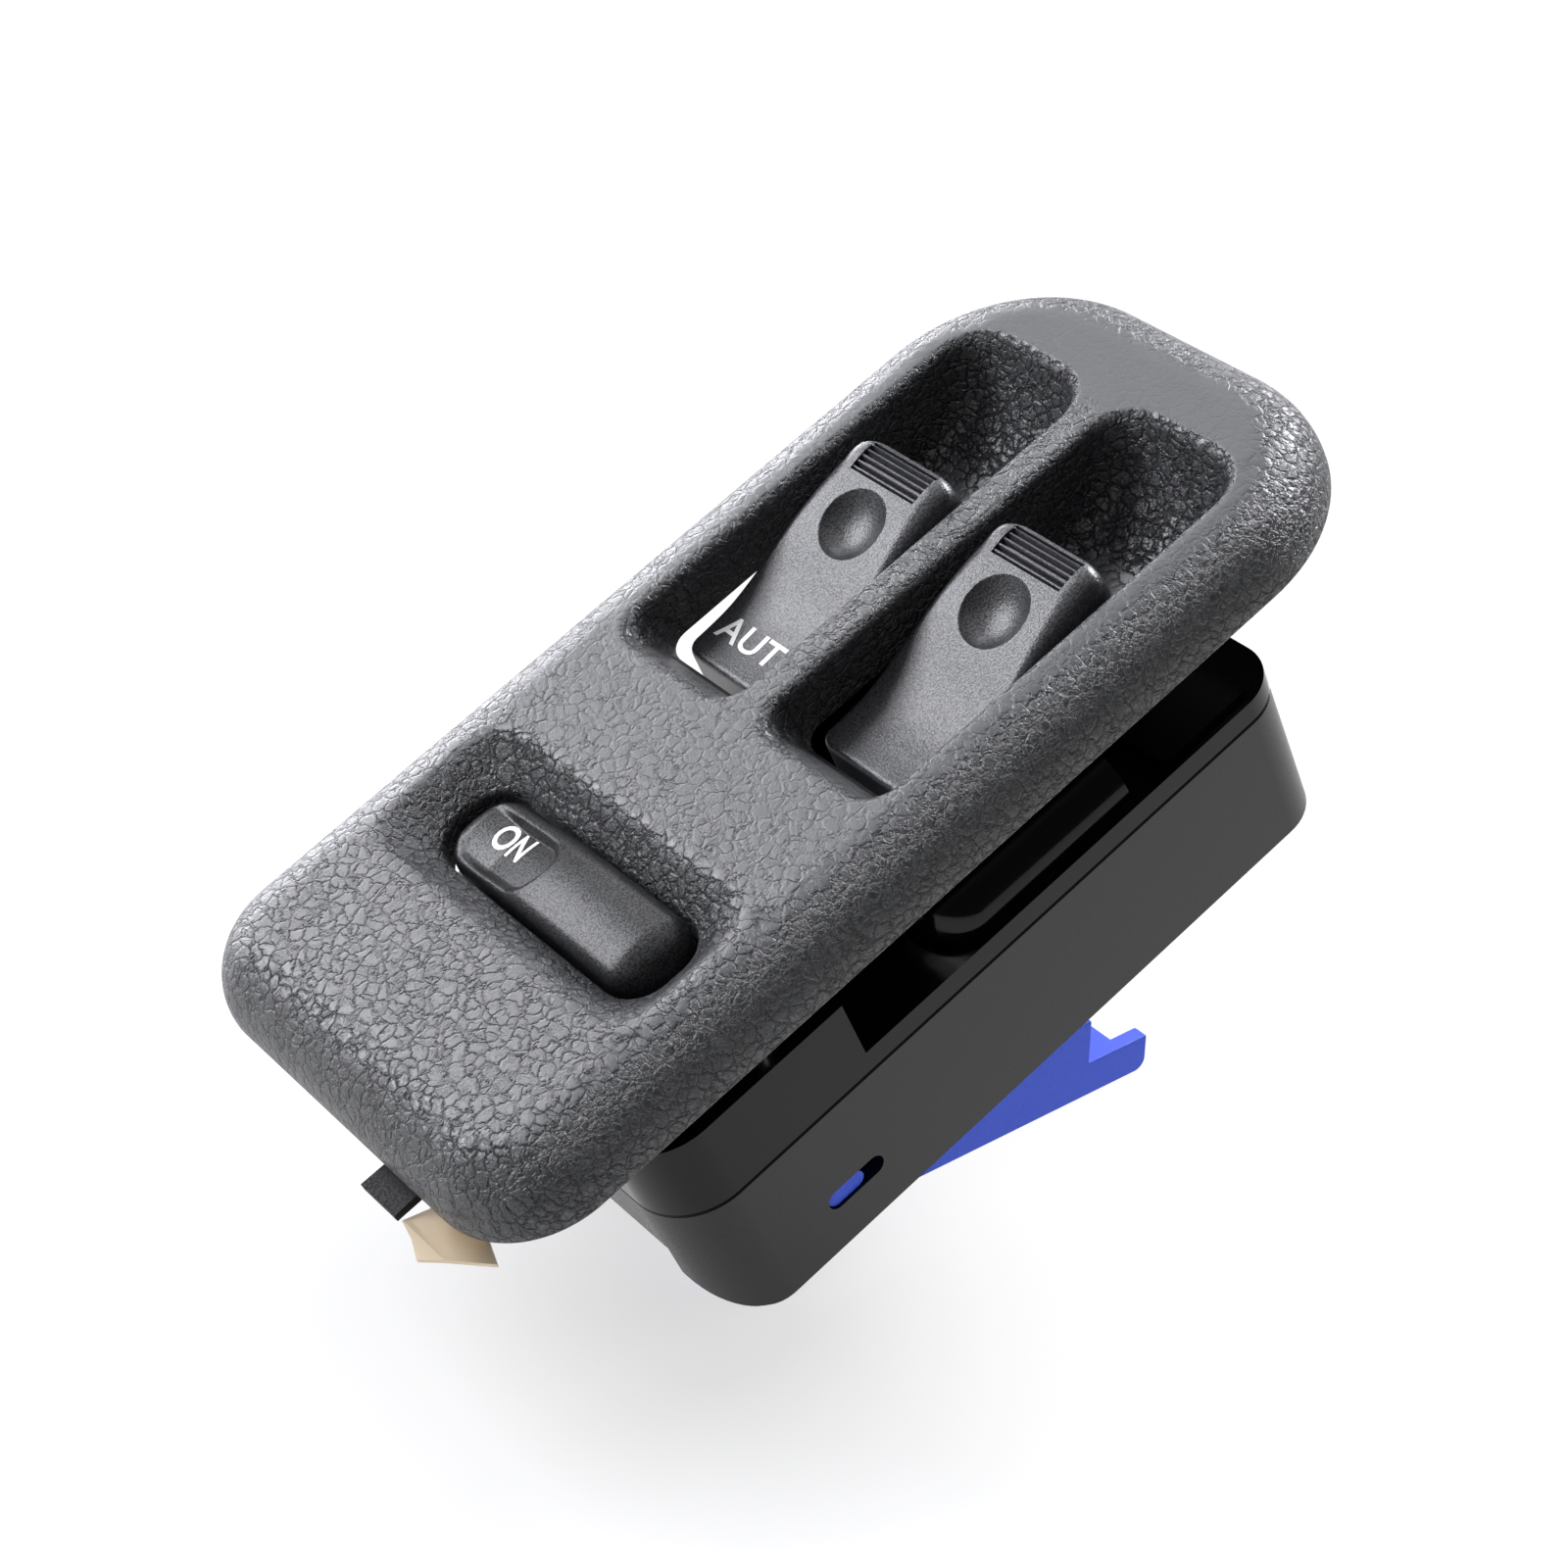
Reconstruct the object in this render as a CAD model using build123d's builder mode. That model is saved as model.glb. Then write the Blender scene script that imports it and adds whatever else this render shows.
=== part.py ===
"""Power window switch: two window keys, a lock rocker and their housing, as an assembly of separate pieces.

Frame: millimetres, +Z out of the bezel, +X along the bezel towards the finger wells, +Y across it.
The origin is the middle of the plane on which the bezel's rim sits.
"""
from build123d import *
import math
import os

os.makedirs("parts", exist_ok=True)

# ---------------------------------------------------------------- driving dimensions
# Bezel shell
bezel_length = 151.0
bezel_width = 74.0
bezel_height = 9.3
bezel_edge_radius = 8.8
bezel_wall = 2.4
bezel_near_corner = 14.0
bezel_far_corner = 25.0

# Finger pockets of the two keys
key_pitch = 28.4
pocket_near_x = -6.2
pocket_far_x = 59.4
pocket_width = 24.4
pocket_corner = 5.0
pocket_taper = 4.0
pocket_slope_run = 5.0
pocket_skin = 0.5
tub_wall = 2.0
tub_bottom_z = 1.0
well_near_x = 28.5
well_floor_z = -4.5
well_arc_x = 39.5
pocket_lip = 0.9
screw_boss_wall = 2.0

# Window keys
key_near_x = 1.25
key_tip_x = 37.4
key_width = 20.0
key_near_corner = 3.6
key_tip_corner = 3.0
key_roof = 2.4
key_side_wall = 1.8
key_lip_length = 4.0
key_skirt_z = -6.5
key_edge_radius = 1.1
key_pivot_x = 12.25
key_pivot_z = -6.0
key_hub_width = 5.6
key_hub_radius = 3.4
key_base_z = 0.1
key_mid_z = 4.9
key_shoulder_z = 9.0
key_crest_z = 9.9
key_pin_radius = 1.5
ear_radius = 3.2
ear_thickness = 2.0
dish_x = 25.4
dish_diameter = 11.1
dish_depth = 1.6
rib_count = 5
rib_pitch = 0.95
rib_groove = 0.5
rib_depth = 0.35
rib_length = 12.7

# Lock rocker and its recess
lock_x = -36.45
recess_length = 55.0
recess_width = 23.0
recess_depth = 3.8
recess_corner = 6.0
lock_opening_length = 45.0
lock_opening_width = 13.4
lock_opening_corner = 5.6
lock_gap_end = 1.0
lock_gap_side = 0.6
lock_corner = 4.5
lock_wall = 1.4
lock_roof = 2.4
lock_edge_radius = 0.8
lock_crest_z = 8.2
lock_on_end_z = 5.4
lock_skirt_z = -1.5
lock_pivot_z = -0.5
lock_rest_tilt = 4.0
lock_pin_radius = 1.2
lock_ear_radius = 2.2
lock_ear_thickness = 1.4
thumb_length = 18.0
thumb_width = 8.2
thumb_depth = 1.1
thumb_y = 9.8

# Housing: upper and lower case
case_near_x = -54.4
case_far_x = 52.8
case_width = 61.2
case_near_corner = 9.5
case_far_corner = 7.0
case_wall = 1.8
deck_z = -19.6
deck_thickness = 2.0
seam_z = -23.0
seam_gap = 0.3
case_bottom_z = -45.5
case_nose_radius = 8.7
block_top_z = -9.8
block_far_x = -22.2
block_wall = 2.0
bulge_radius = 7.4
bulge_near_x = -6.5
bulge_inset = 1.6
bulge_far_x = 26.0
platform_near_x = 32.0
platform_height = 0.9
platform_margin = 1.4

# Connector bay under the lower case, its lever and its slide
bay_side_passage = 8.6
bay_far_x = 26.0
bay_ceiling_z = -32.2
lever_pivot_x = -46.85
lever_pivot_z = -39.5
lever_open = 24.0
lever_length = 72.0
lever_under = 5.7
lever_top = 6.9
lever_step_x = 61.4
lever_foot_height = 5.5
lever_web_length = 6.0
lever_web_thickness = 2.0
lever_arm = 2.4
lever_side_gap = 0.4
lever_pin_radius = 2.5
slot_x = -31.2
slot_z = -37.4
slot_length = 9.3
slot_height = 3.0
slide_travel = 3.0
slide_length = 18.5
slide_height = 6.0
slide_thickness = 2.0
slide_pin_radius = 1.2
slide_wall_gap = 1.1
slide_face_inset = 0.4

# Circuit board, header and what stands on the board
board_top_z = -27.0
board_thickness = 1.6
board_near_x = -50.0
board_far_x = 42.0
board_overlap = 1.0
header_near_x = -37.0
header_far_x = 9.0
header_width = 33.0
header_wall = 1.6
header_floor_z = -33.5
header_mouth_z = -44.6
pin_pitch = 4.0
pin_columns = 10
pin_row_gap = 9.0
pin_size = 0.64
pin_top_z = -25.9
pin_tip_z = -41.5
relay_length = 12.2
relay_width = 15.0
relay_height = 12.0
relay_gap = 6.0
relay_edge_gap = 0.8
chip_y = -14.0
chip_length = 12.8
chip_width = 6.0
chip_height = 1.6
chip_standoff = 0.15
chip_leg_pitch = 1.27
chip_leg_count = 8
chip_leg_width = 0.45
chip_leg_length = 1.6
chip_leg_height = 0.9
capacitor_radius = 3.1
capacitor_height = 5.0
capacitor_offset = 6.0
capacitor_y = 14.0
resistor_length = 3.2
resistor_width = 1.6
resistor_height = 0.6
resistor_offset = 6.0
resistor_y = 15.0
resistor_pitch = 3.0
resistor_row_gap = 5.0
diode_length = 4.6
diode_width = 2.6
diode_height = 2.2
diode_inset = 7.0
diode_row_gap = 24.0
header_rib_width = 3.0
header_rib_height = 2.4
header_corner = 0.9

# Plunger contact set under each key
plunger_radius = 1.6
tube_radius = 2.8
tube_bottom_z = -22.5
plunger_tip_z = -25.2
seesaw_length = 12.0
seesaw_width = 4.8
seesaw_thickness = 0.5
seesaw_tilt = 5.0
spring_wire = 0.35
spring_turns = 6
spring_top_z = -10.6
spring_length = 4.4
fulcrum_height = 1.05
contact_pad_height = 0.4
contact_pad_offset = 5.0

# Fasteners and fixings
bezel_screw_radius = 1.5
bezel_screw_length = 9.0
case_screw_radius = 1.2
board_screw_radius = 1.0
board_screw_length = 4.6
board_screw_near_x = -44.0
board_screw_far_x = 22.0
board_screw_inset = 5.0
standoff_radius = 2.5
near_boss_x = -47.5
near_boss_y = 20.0
far_boss_x = 44.0
post_near_x = -14.0
post_far_x = 46.0
post_far_inset = 6.6
post_radius = 3.2
post_split_z = -30.0
case_screw_seat_z = -36.0
case_screw_length = 12.0
panel_boss_x = 65.0
panel_boss_spread = 40.0
panel_boss_radius = 3.4
panel_boss_hole = 1.5
panel_boss_depth = 7.0
hook_inset = 26.6
hook_width = 8.0
hook_top_z = -2.5
hook_thickness = 1.5
hook_reach = 3.5
clip_thickness = 0.6
clip_leg_inset = 15.5
clip_leg_width = 6.5
clip_reach = 8.2
clip_ledge = 5.6
clip_tab_drop = 6.8
clip_bend_z = -6.4
clip_lip_z = -2.9
clip_gap = 0.25

# Clearances
pivot_clearance = 0.06
fit = 0.1
running = 0.15
touch = 0.05

# ---------------------------------------------------------------- derived places
edge_radius = min(bezel_edge_radius, bezel_height - 0.3)
roof_z = bezel_height - bezel_wall
key_ys = {"auto": key_pitch / 2, "plain": -key_pitch / 2}
board_bottom_z = board_top_z - board_thickness
well_radius = ((pocket_far_x - well_arc_x) ** 2 + (bezel_height - well_floor_z) ** 2) / (
    2 * (bezel_height - well_floor_z)
)
bay_width = case_width - 2 * bay_side_passage
bulge_y = case_width / 2 - bulge_inset - bulge_radius
board_width = bay_width + 2 * board_overlap
board_screw_y = board_width / 2 - board_screw_inset
post_far_y = case_width / 2 - post_far_inset
hook_y = hook_inset - bezel_width / 2
clip_leg_near_y = clip_leg_inset - bezel_width / 2
clip_leg_far_y = clip_leg_near_y + clip_leg_width
lever_face_y = bay_width / 2 - lever_side_gap
case_length = case_far_x - case_near_x
post_near_y = (bay_width / 2 + case_width / 2) / 2


def rounded_outline(near_x, far_x, width, near_radius, far_radius):
    """Closed outline with one radius at its -X corners and another at its +X corners."""
    half = width / 2
    corners = [(near_x, -half), (far_x, -half), (far_x, half), (near_x, half)]
    with BuildLine() as outline:
        FilletPolyline(*corners, radius=[near_radius, far_radius, far_radius, near_radius], close=True)
    return outline.line


# ---------------------------------------------------------------- bezel
with BuildPart() as bezel_cavity:
    with BuildSketch():
        add(rounded_outline(-bezel_length / 2 + bezel_wall, bezel_length / 2 - bezel_wall,
                            bezel_width - 2 * bezel_wall, bezel_near_corner - bezel_wall,
                            bezel_far_corner - bezel_wall))
        make_face()
    extrude(amount=roof_z)
    fillet(bezel_cavity.faces().sort_by(Axis.Z)[-1].edges(), radius=edge_radius - bezel_wall)

with BuildPart() as pocket_void:
    with BuildSketch(Plane.XY.offset(bezel_height + pocket_skin)):
        add(rounded_outline(pocket_near_x, pocket_far_x + 3, pocket_width, pocket_corner, pocket_corner + 1))
        make_face()
    extrude(amount=-(bezel_height + 12), taper=pocket_taper)
    with BuildSketch(Plane.XZ):
        with BuildLine():
            floor_arc = RadiusArc((well_arc_x, well_floor_z), (pocket_far_x, bezel_height), -well_radius)
            Polyline(
                (pocket_far_x, bezel_height),
                (pocket_far_x, bezel_height + 2),
                (pocket_near_x - 1.2, bezel_height + 2),
                (pocket_near_x, bezel_height),
                (pocket_near_x + pocket_slope_run, tub_bottom_z),
                (pocket_near_x + pocket_slope_run, well_floor_z - 10),
                (well_near_x, well_floor_z - 10),
                (well_near_x, well_floor_z),
                (well_arc_x, well_floor_z),
            )
        make_face()
    extrude(amount=pocket_width, both=True, mode=Mode.INTERSECT)

# lip of a pocket: the wall's outline at the foot of the lip, opened by the lip's size at the top face
lip_rise = 0.01
lip_foot_z = bezel_height - pocket_lip
lip_near_x = pocket_near_x + pocket_lip * pocket_slope_run / (bezel_height - tub_bottom_z)
lip_far_x = well_arc_x + math.sqrt(well_radius ** 2 - (well_radius - lip_foot_z + well_floor_z) ** 2)
lip_width = pocket_width - 2 * (pocket_lip + pocket_skin) * math.tan(math.radians(pocket_taper))
lip_growth = pocket_lip + lip_rise
with BuildPart() as pocket_lip_void:
    with BuildSketch(Plane.XY.offset(lip_foot_z)):
        add(rounded_outline(lip_near_x, lip_far_x, lip_width, pocket_corner, pocket_corner))
        make_face()
    with BuildSketch(Plane.XY.offset(bezel_height + lip_rise)):
        add(rounded_outline(lip_near_x - lip_growth, lip_far_x + lip_growth, lip_width + 2 * lip_growth,
                            pocket_corner + lip_growth, pocket_corner + lip_growth))
        make_face()
    loft(ruled=True)

with BuildPart() as pocket_tub:
    with BuildSketch(Plane.XY.offset(well_floor_z - tub_wall)):
        add(rounded_outline(pocket_near_x - tub_wall, pocket_far_x + tub_wall, pocket_width + 2 * tub_wall,
                            pocket_corner + tub_wall, pocket_corner + tub_wall))
        make_face()
    extrude(amount=bezel_height - 1 - well_floor_z + tub_wall)
    with BuildSketch(Plane.XZ):
        with BuildLine():
            RadiusArc((well_arc_x, well_floor_z - tub_wall), (pocket_far_x + tub_wall, bezel_height - 1),
                      -(well_radius + tub_wall))
            Polyline(
                (pocket_far_x + tub_wall, bezel_height - 1),
                (pocket_near_x - tub_wall, bezel_height - 1),
                (pocket_near_x + pocket_slope_run - tub_wall, tub_bottom_z),
                (well_near_x - tub_wall, tub_bottom_z),
                (well_near_x - tub_wall, well_floor_z - tub_wall),
                (well_arc_x, well_floor_z - tub_wall),
            )
        make_face()
    extrude(amount=pocket_width, both=True, mode=Mode.INTERSECT)

with BuildPart() as recess_void:
    with BuildSketch(Plane.XY.offset(bezel_height - recess_depth)):
        with Locations((lock_x, 0)):
            RectangleRounded(lock_opening_width, lock_opening_length, lock_opening_corner)
    with BuildSketch(Plane.XY.offset(bezel_height)):
        with Locations((lock_x, 0)):
            RectangleRounded(recess_width, recess_length, recess_corner)
    loft(ruled=True)
    with BuildSketch(Plane.XY.offset(bezel_height)):
        with Locations((lock_x, 0)):
            RectangleRounded(recess_width, recess_length, recess_corner)
    extrude(amount=1)
    with BuildSketch(Plane.XY.offset(bezel_height - recess_depth)):
        with Locations((lock_x, 0)):
            RectangleRounded(lock_opening_width, lock_opening_length, lock_opening_corner)
    extrude(amount=-(bezel_height + 2))

with BuildPart() as bezel:
    with BuildSketch():
        add(rounded_outline(-bezel_length / 2, bezel_length / 2, bezel_width, bezel_near_corner,
                            bezel_far_corner))
        make_face()
    extrude(amount=bezel_height)
    fillet(bezel.faces().sort_by(Axis.Z)[-1].edges(), radius=edge_radius)
    add(bezel_cavity.part, mode=Mode.SUBTRACT)
    with Locations(*[(0, y, 0) for y in key_ys.values()]):
        add(pocket_tub.part)
    # tray around the lock recess
    with BuildSketch(Plane.XY.offset(tub_bottom_z)):
        with Locations((lock_x, 0)):
            RectangleRounded(recess_width + 2 * tub_wall, recess_length + 2 * tub_wall, recess_corner)
    extrude(amount=bezel_height - 1 - tub_bottom_z)
    # two bosses on the housing's block and one below the bar between the wells
    with BuildSketch(Plane.XY.offset(block_top_z)):
        with Locations((near_boss_x, near_boss_y), (near_boss_x, -near_boss_y)):
            Circle(bezel_screw_radius + screw_boss_wall)
    extrude(amount=roof_z - block_top_z + 0.5)
    with BuildSketch(Plane.XY.offset(block_top_z)):
        with Locations((far_boss_x, 0)):
            Circle(bezel_screw_radius + screw_boss_wall)
    extrude(amount=well_floor_z - block_top_z)
    with Locations(*[(0, y, 0) for y in key_ys.values()]):
        add(pocket_void.part, mode=Mode.SUBTRACT)
        add(pocket_lip_void.part, mode=Mode.SUBTRACT)
    add(recess_void.part, mode=Mode.SUBTRACT)
    with Locations((near_boss_x, near_boss_y, block_top_z), (near_boss_x, -near_boss_y, block_top_z),
                   (far_boss_x, 0, block_top_z)):
        Cylinder(bezel_screw_radius + touch, bezel_screw_length - block_wall + 0.6,
                 align=(Align.CENTER, Align.CENTER, Align.MIN), mode=Mode.SUBTRACT)
    # bosses for the two screws that come up through the door panel
    with Locations((panel_boss_x, panel_boss_spread / 2, 0), (panel_boss_x, -panel_boss_spread / 2, 0)):
        Cylinder(panel_boss_radius, roof_z + 0.5, align=(Align.CENTER, Align.CENTER, Align.MIN))
    with Locations((panel_boss_x, panel_boss_spread / 2, 0), (panel_boss_x, -panel_boss_spread / 2, 0)):
        Cylinder(panel_boss_hole, panel_boss_depth, align=(Align.CENTER, Align.CENTER, Align.MIN),
                 mode=Mode.SUBTRACT)
    # hook under the near end: a leg behind the rim and a foot that reaches out below the panel
    with BuildSketch(Plane.XZ.offset(-hook_y)):
        with BuildLine():
            Polyline(
                (-bezel_length / 2 + bezel_wall, roof_z - 2),
                (-bezel_length / 2 + bezel_wall, hook_top_z),
                (-bezel_length / 2 - hook_reach, hook_top_z),
                (-bezel_length / 2 - hook_reach, hook_top_z - hook_thickness),
                (-bezel_length / 2 + bezel_wall + hook_thickness + 2, hook_top_z - hook_thickness),
                (-bezel_length / 2 + bezel_wall + hook_thickness + 2, roof_z - 2),
                close=True,
            )
        make_face()
    extrude(amount=hook_width / 2, both=True)
bezel.part.label = "bezel"
export_step(bezel.part, "parts/bezel.step")


# ---------------------------------------------------------------- frames that the moving sets share
def travel_plane(x, y, z, travel, tilt=0.0):
    """Plane at a point: x axis along the travel, lifted by tilt degrees, and z axis leaning back."""
    lift = math.sin(math.radians(tilt))
    level = math.cos(math.radians(tilt))
    if travel == "x":
        return Plane(origin=(x, y, z), x_dir=(level, 0, lift), z_dir=(-lift, 0, level))
    return Plane(origin=(x, y, z), x_dir=(0, level, lift), z_dir=(0, -lift, level))


# ---------------------------------------------------------------- window keys
with BuildPart() as key_body:
    with BuildSketch(Plane.XZ.offset(-key_width / 2)):
        with BuildLine():
            top_line = Spline(
                (key_near_x, key_base_z),
                (key_pivot_x - 5, key_base_z + 0.3),
                (dish_x - 6.4, key_mid_z),
                (key_tip_x - 6.2, key_shoulder_z),
                (key_tip_x - 3.0, key_crest_z),
                (key_tip_x - 0.5, key_crest_z - 1.0),
            )
            Polyline(
                top_line @ 1,
                (key_tip_x, key_crest_z - 2.4),
                (key_tip_x, key_crest_z - 4.9),
                (key_tip_x - 1.4, key_crest_z - 5.9),
                (dish_x + 0.6, key_mid_z - 4.4),
                (key_pivot_x + 4.7, key_skirt_z),
                (key_near_x, key_skirt_z),
                (key_near_x, key_base_z),
            )
        make_face()
    extrude(amount=key_width)
    with BuildSketch(Plane.XY.offset(key_skirt_z)):
        add(rounded_outline(key_near_x, key_tip_x, key_width, key_near_corner, key_tip_corner))
        make_face()
    extrude(amount=key_crest_z - key_skirt_z + 1, mode=Mode.INTERSECT)
    upper_faces = key_body.faces().filter_by(lambda face: face.normal_at().Z > 0.5)
    rim_edges = [edge for edge in upper_faces.edges() if abs(edge.tangent_at(0.5).Y) < 0.9]
    fillet(rim_edges, radius=key_edge_radius)

dish_radius = (dish_diameter ** 2 / 4 + dish_depth ** 2) / (2 * dish_depth)
dish_slope = math.degrees(math.atan2(key_shoulder_z - key_mid_z, key_tip_x - 6.2 - dish_x + 6.4))
dish_plane = Plane(
    origin=(dish_x, 0, (key_mid_z + key_shoulder_z) / 2 + 0.35),
    x_dir=(math.cos(math.radians(dish_slope)), 0, math.sin(math.radians(dish_slope))),
    z_dir=(-math.sin(math.radians(dish_slope)), 0, math.cos(math.radians(dish_slope))),
)
crest_share = top_line.param_at_point((key_tip_x - 3.0, key_crest_z))
groove_step = rib_pitch / top_line.length
rib_places = [top_line @ (crest_share + (i - rib_count / 2) * groove_step) for i in range(rib_count + 1)]

with BuildPart() as key_hollow:
    with BuildSketch(Plane.XZ):
        with BuildLine():
            under_line = Spline(
                (key_near_x + key_side_wall, key_base_z - key_roof),
                (key_pivot_x - 5, key_base_z + 0.3 - key_roof),
                (dish_x - 6.4, key_mid_z - key_roof - 0.3),
                (key_tip_x - 6.2, key_shoulder_z - key_roof - 0.6),
            )
            Polyline(
                under_line @ 1,
                (key_tip_x - key_lip_length, key_shoulder_z - key_roof - 0.6),
                (key_tip_x - key_lip_length, key_skirt_z - 1),
                (key_near_x + key_side_wall, key_skirt_z - 1),
                under_line @ 0,
            )
        make_face()
    extrude(amount=key_width / 2 - key_side_wall, both=True)

with BuildPart(dish_plane.offset(dish_radius - dish_depth)) as dish_void:
    Sphere(dish_radius)

with BuildPart() as key_shape:
    add(key_body.part)
    add(dish_void.part, mode=Mode.SUBTRACT)
    with Locations(*[(place.X, 0, place.Y) for place in rib_places]):
        Box(rib_groove, rib_length, 2 * rib_depth, mode=Mode.SUBTRACT)
    add(key_hollow.part, mode=Mode.SUBTRACT)
    # hub on the pivot pin, its web up to the roof and the plunger tube below
    with Locations(Location((key_pivot_x, 0, key_pivot_z), (90, 0, 0))):
        Cylinder(key_hub_radius, key_hub_width)
    with Locations((key_pivot_x, 0, key_pivot_z)):
        Box(key_hub_radius * 1.6, key_hub_width, key_mid_z - 4.9 - key_pivot_z,
            align=(Align.CENTER, Align.CENTER, Align.MIN))
        Cylinder(tube_radius, key_pivot_z - tube_bottom_z, align=(Align.CENTER, Align.CENTER, Align.MAX))
    with Locations((key_pivot_x, 0, tube_bottom_z)):
        Cylinder(plunger_radius + running, spring_top_z - tube_bottom_z,
                 align=(Align.CENTER, Align.CENTER, Align.MIN), mode=Mode.SUBTRACT)
    with Locations(Location((key_pivot_x, 0, key_pivot_z), (90, 0, 0))):
        Cylinder(key_pin_radius + pivot_clearance, key_hub_width + 1, mode=Mode.SUBTRACT)

for key_name, key_y in key_ys.items():
    with BuildPart() as window_key:
        with Locations((0, key_y, 0)):
            add(key_shape.part)
    window_key.part.label = f"window_key_{key_name}"
    export_step(window_key.part, f"parts/window_key_{key_name}.step")

# ---------------------------------------------------------------- lock rocker
lock_width = lock_opening_width - 2 * lock_gap_side
lock_half = lock_opening_length / 2 - lock_gap_end

with BuildPart() as lock_body:
    with BuildSketch(Plane.YZ.offset(lock_x - lock_width / 2)):
        with BuildLine():
            lock_line = Spline(
                (-lock_half + 0.3, lock_crest_z - 2.2),
                (-lock_half + 4.0, lock_crest_z - 0.2),
                (-3, lock_crest_z - 0.1),
                (thumb_y + 2, lock_crest_z - 1.8),
                (lock_half - 0.4, lock_on_end_z - 0.5),
            )
            Polyline(
                lock_line @ 1,
                (lock_half, lock_on_end_z - 2),
                (lock_half, lock_skirt_z),
                (-lock_half, lock_skirt_z),
                (-lock_half, lock_crest_z - 3.8),
                lock_line @ 0,
            )
        make_face()
    extrude(amount=lock_width)
    with BuildSketch(Plane.XY.offset(lock_skirt_z)):
        with Locations((lock_x, 0)):
            RectangleRounded(lock_width, 2 * lock_half, lock_corner)
    extrude(amount=lock_crest_z - lock_skirt_z + 1, mode=Mode.INTERSECT)
    lock_top = lock_body.faces().filter_by(lambda face: face.normal_at().Z > 0.5)
    fillet(lock_top.edges(), radius=lock_edge_radius)

thumb_slope = -math.degrees(math.atan2(lock_crest_z - 0.7 - lock_on_end_z, lock_half - thumb_y + 4.6))
thumb_plane = travel_plane(lock_x, thumb_y, lock_crest_z - 1.62, "y", thumb_slope)
thumb_side_radius = (thumb_width ** 2 / 4 + thumb_depth ** 2) / (2 * thumb_depth)
with BuildPart(thumb_plane.offset(thumb_side_radius - thumb_depth)) as thumb_void:
    Cylinder(thumb_side_radius, thumb_length - thumb_width, rotation=(0, 90, 0))
    with Locations((thumb_length / 2 - thumb_width / 2, 0), (thumb_width / 2 - thumb_length / 2, 0)):
        Sphere(thumb_side_radius)

with BuildPart() as lock_hollow:
    with BuildSketch(Plane.YZ.offset(lock_x - lock_width / 2 + lock_wall)):
        with BuildLine():
            Polyline(
                (-lock_half + lock_wall, lock_skirt_z - 1),
                (-lock_half + lock_wall, lock_crest_z - 4.6),
                (-lock_half + 4.6, lock_crest_z - lock_roof - 0.4),
                (-3, lock_crest_z - lock_roof),
                (thumb_y - 7, lock_crest_z - lock_roof - 1.2),
                (thumb_y, lock_on_end_z - lock_roof + 0.3),
                (lock_half - lock_wall, lock_on_end_z - lock_roof - 0.6),
                (lock_half - lock_wall, lock_skirt_z - 1),
                close=True,
            )
        make_face()
    extrude(amount=lock_width - 2 * lock_wall)
    fillet(lock_hollow.edges().filter_by(Axis.Z), radius=lock_wall)

lock_tilt_plane = travel_plane(lock_x, 0, lock_pivot_z, "y", -lock_rest_tilt)
with BuildPart(lock_tilt_plane) as lock_stem:
    Cylinder(lock_ear_radius, key_hub_width, rotation=(90, 0, 0))
    Cylinder(tube_radius, lock_pivot_z - tube_bottom_z, align=(Align.CENTER, Align.CENTER, Align.MAX))
    Box(2 * lock_ear_radius, key_hub_width, lock_crest_z - lock_roof - lock_pivot_z,
        align=(Align.CENTER, Align.CENTER, Align.MIN))
    with Locations((0, 0, tube_bottom_z - lock_pivot_z)):
        Cylinder(plunger_radius + running, spring_top_z - tube_bottom_z,
                 align=(Align.CENTER, Align.CENTER, Align.MIN), mode=Mode.SUBTRACT)

with BuildPart() as lock_rocker:
    add(lock_body.part)
    add(thumb_void.part, mode=Mode.SUBTRACT)
    add(lock_hollow.part, mode=Mode.SUBTRACT)
    add(lock_stem.part)
    with Locations(Location((lock_x, 0, lock_pivot_z), (0, 90, 0))):
        Cylinder(lock_pin_radius + pivot_clearance, key_hub_width + 1, mode=Mode.SUBTRACT)
lock_rocker.part.label = "lock_rocker"
export_step(lock_rocker.part, "parts/lock_rocker.step")

# ---------------------------------------------------------------- spring clip beside the hook
with BuildPart() as end_clip:
    clip_inner_x = -bezel_length / 2 + bezel_wall + clip_gap
    with BuildSketch(Plane.XZ.offset(-bezel_width)):
        with BuildLine():
            Polyline(
                (clip_inner_x + clip_thickness / 2, roof_z - edge_radius + bezel_wall),
                (clip_inner_x + clip_thickness / 2, clip_bend_z),
                (clip_inner_x - clip_ledge, clip_lip_z - 0.8),
                (clip_inner_x - clip_reach, clip_lip_z),
            )
        trace(line_width=clip_thickness)
    extrude(amount=2 * bezel_width)
    with BuildSketch(Plane.XY.offset(clip_bend_z - 1)):
        with BuildLine():
            Polyline(
                (clip_inner_x + 1, clip_leg_far_y),
                (clip_inner_x - clip_ledge, clip_leg_far_y + 0.1),
                (clip_inner_x - clip_ledge - 0.8, clip_leg_far_y - clip_leg_width / 2),
                (clip_inner_x - clip_reach + 0.4, clip_leg_near_y - 0.1),
                (clip_inner_x - 1.4, clip_leg_near_y - clip_tab_drop),
                (clip_inner_x + 1, clip_leg_near_y),
                close=True,
            )
        make_face()
    extrude(amount=roof_z - clip_bend_z, mode=Mode.INTERSECT)
end_clip.part.label = "end_clip"
export_step(end_clip.part, "parts/end_clip.step")

# ---------------------------------------------------------------- upper case
ear_half = key_hub_width / 2 + running + touch


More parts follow.
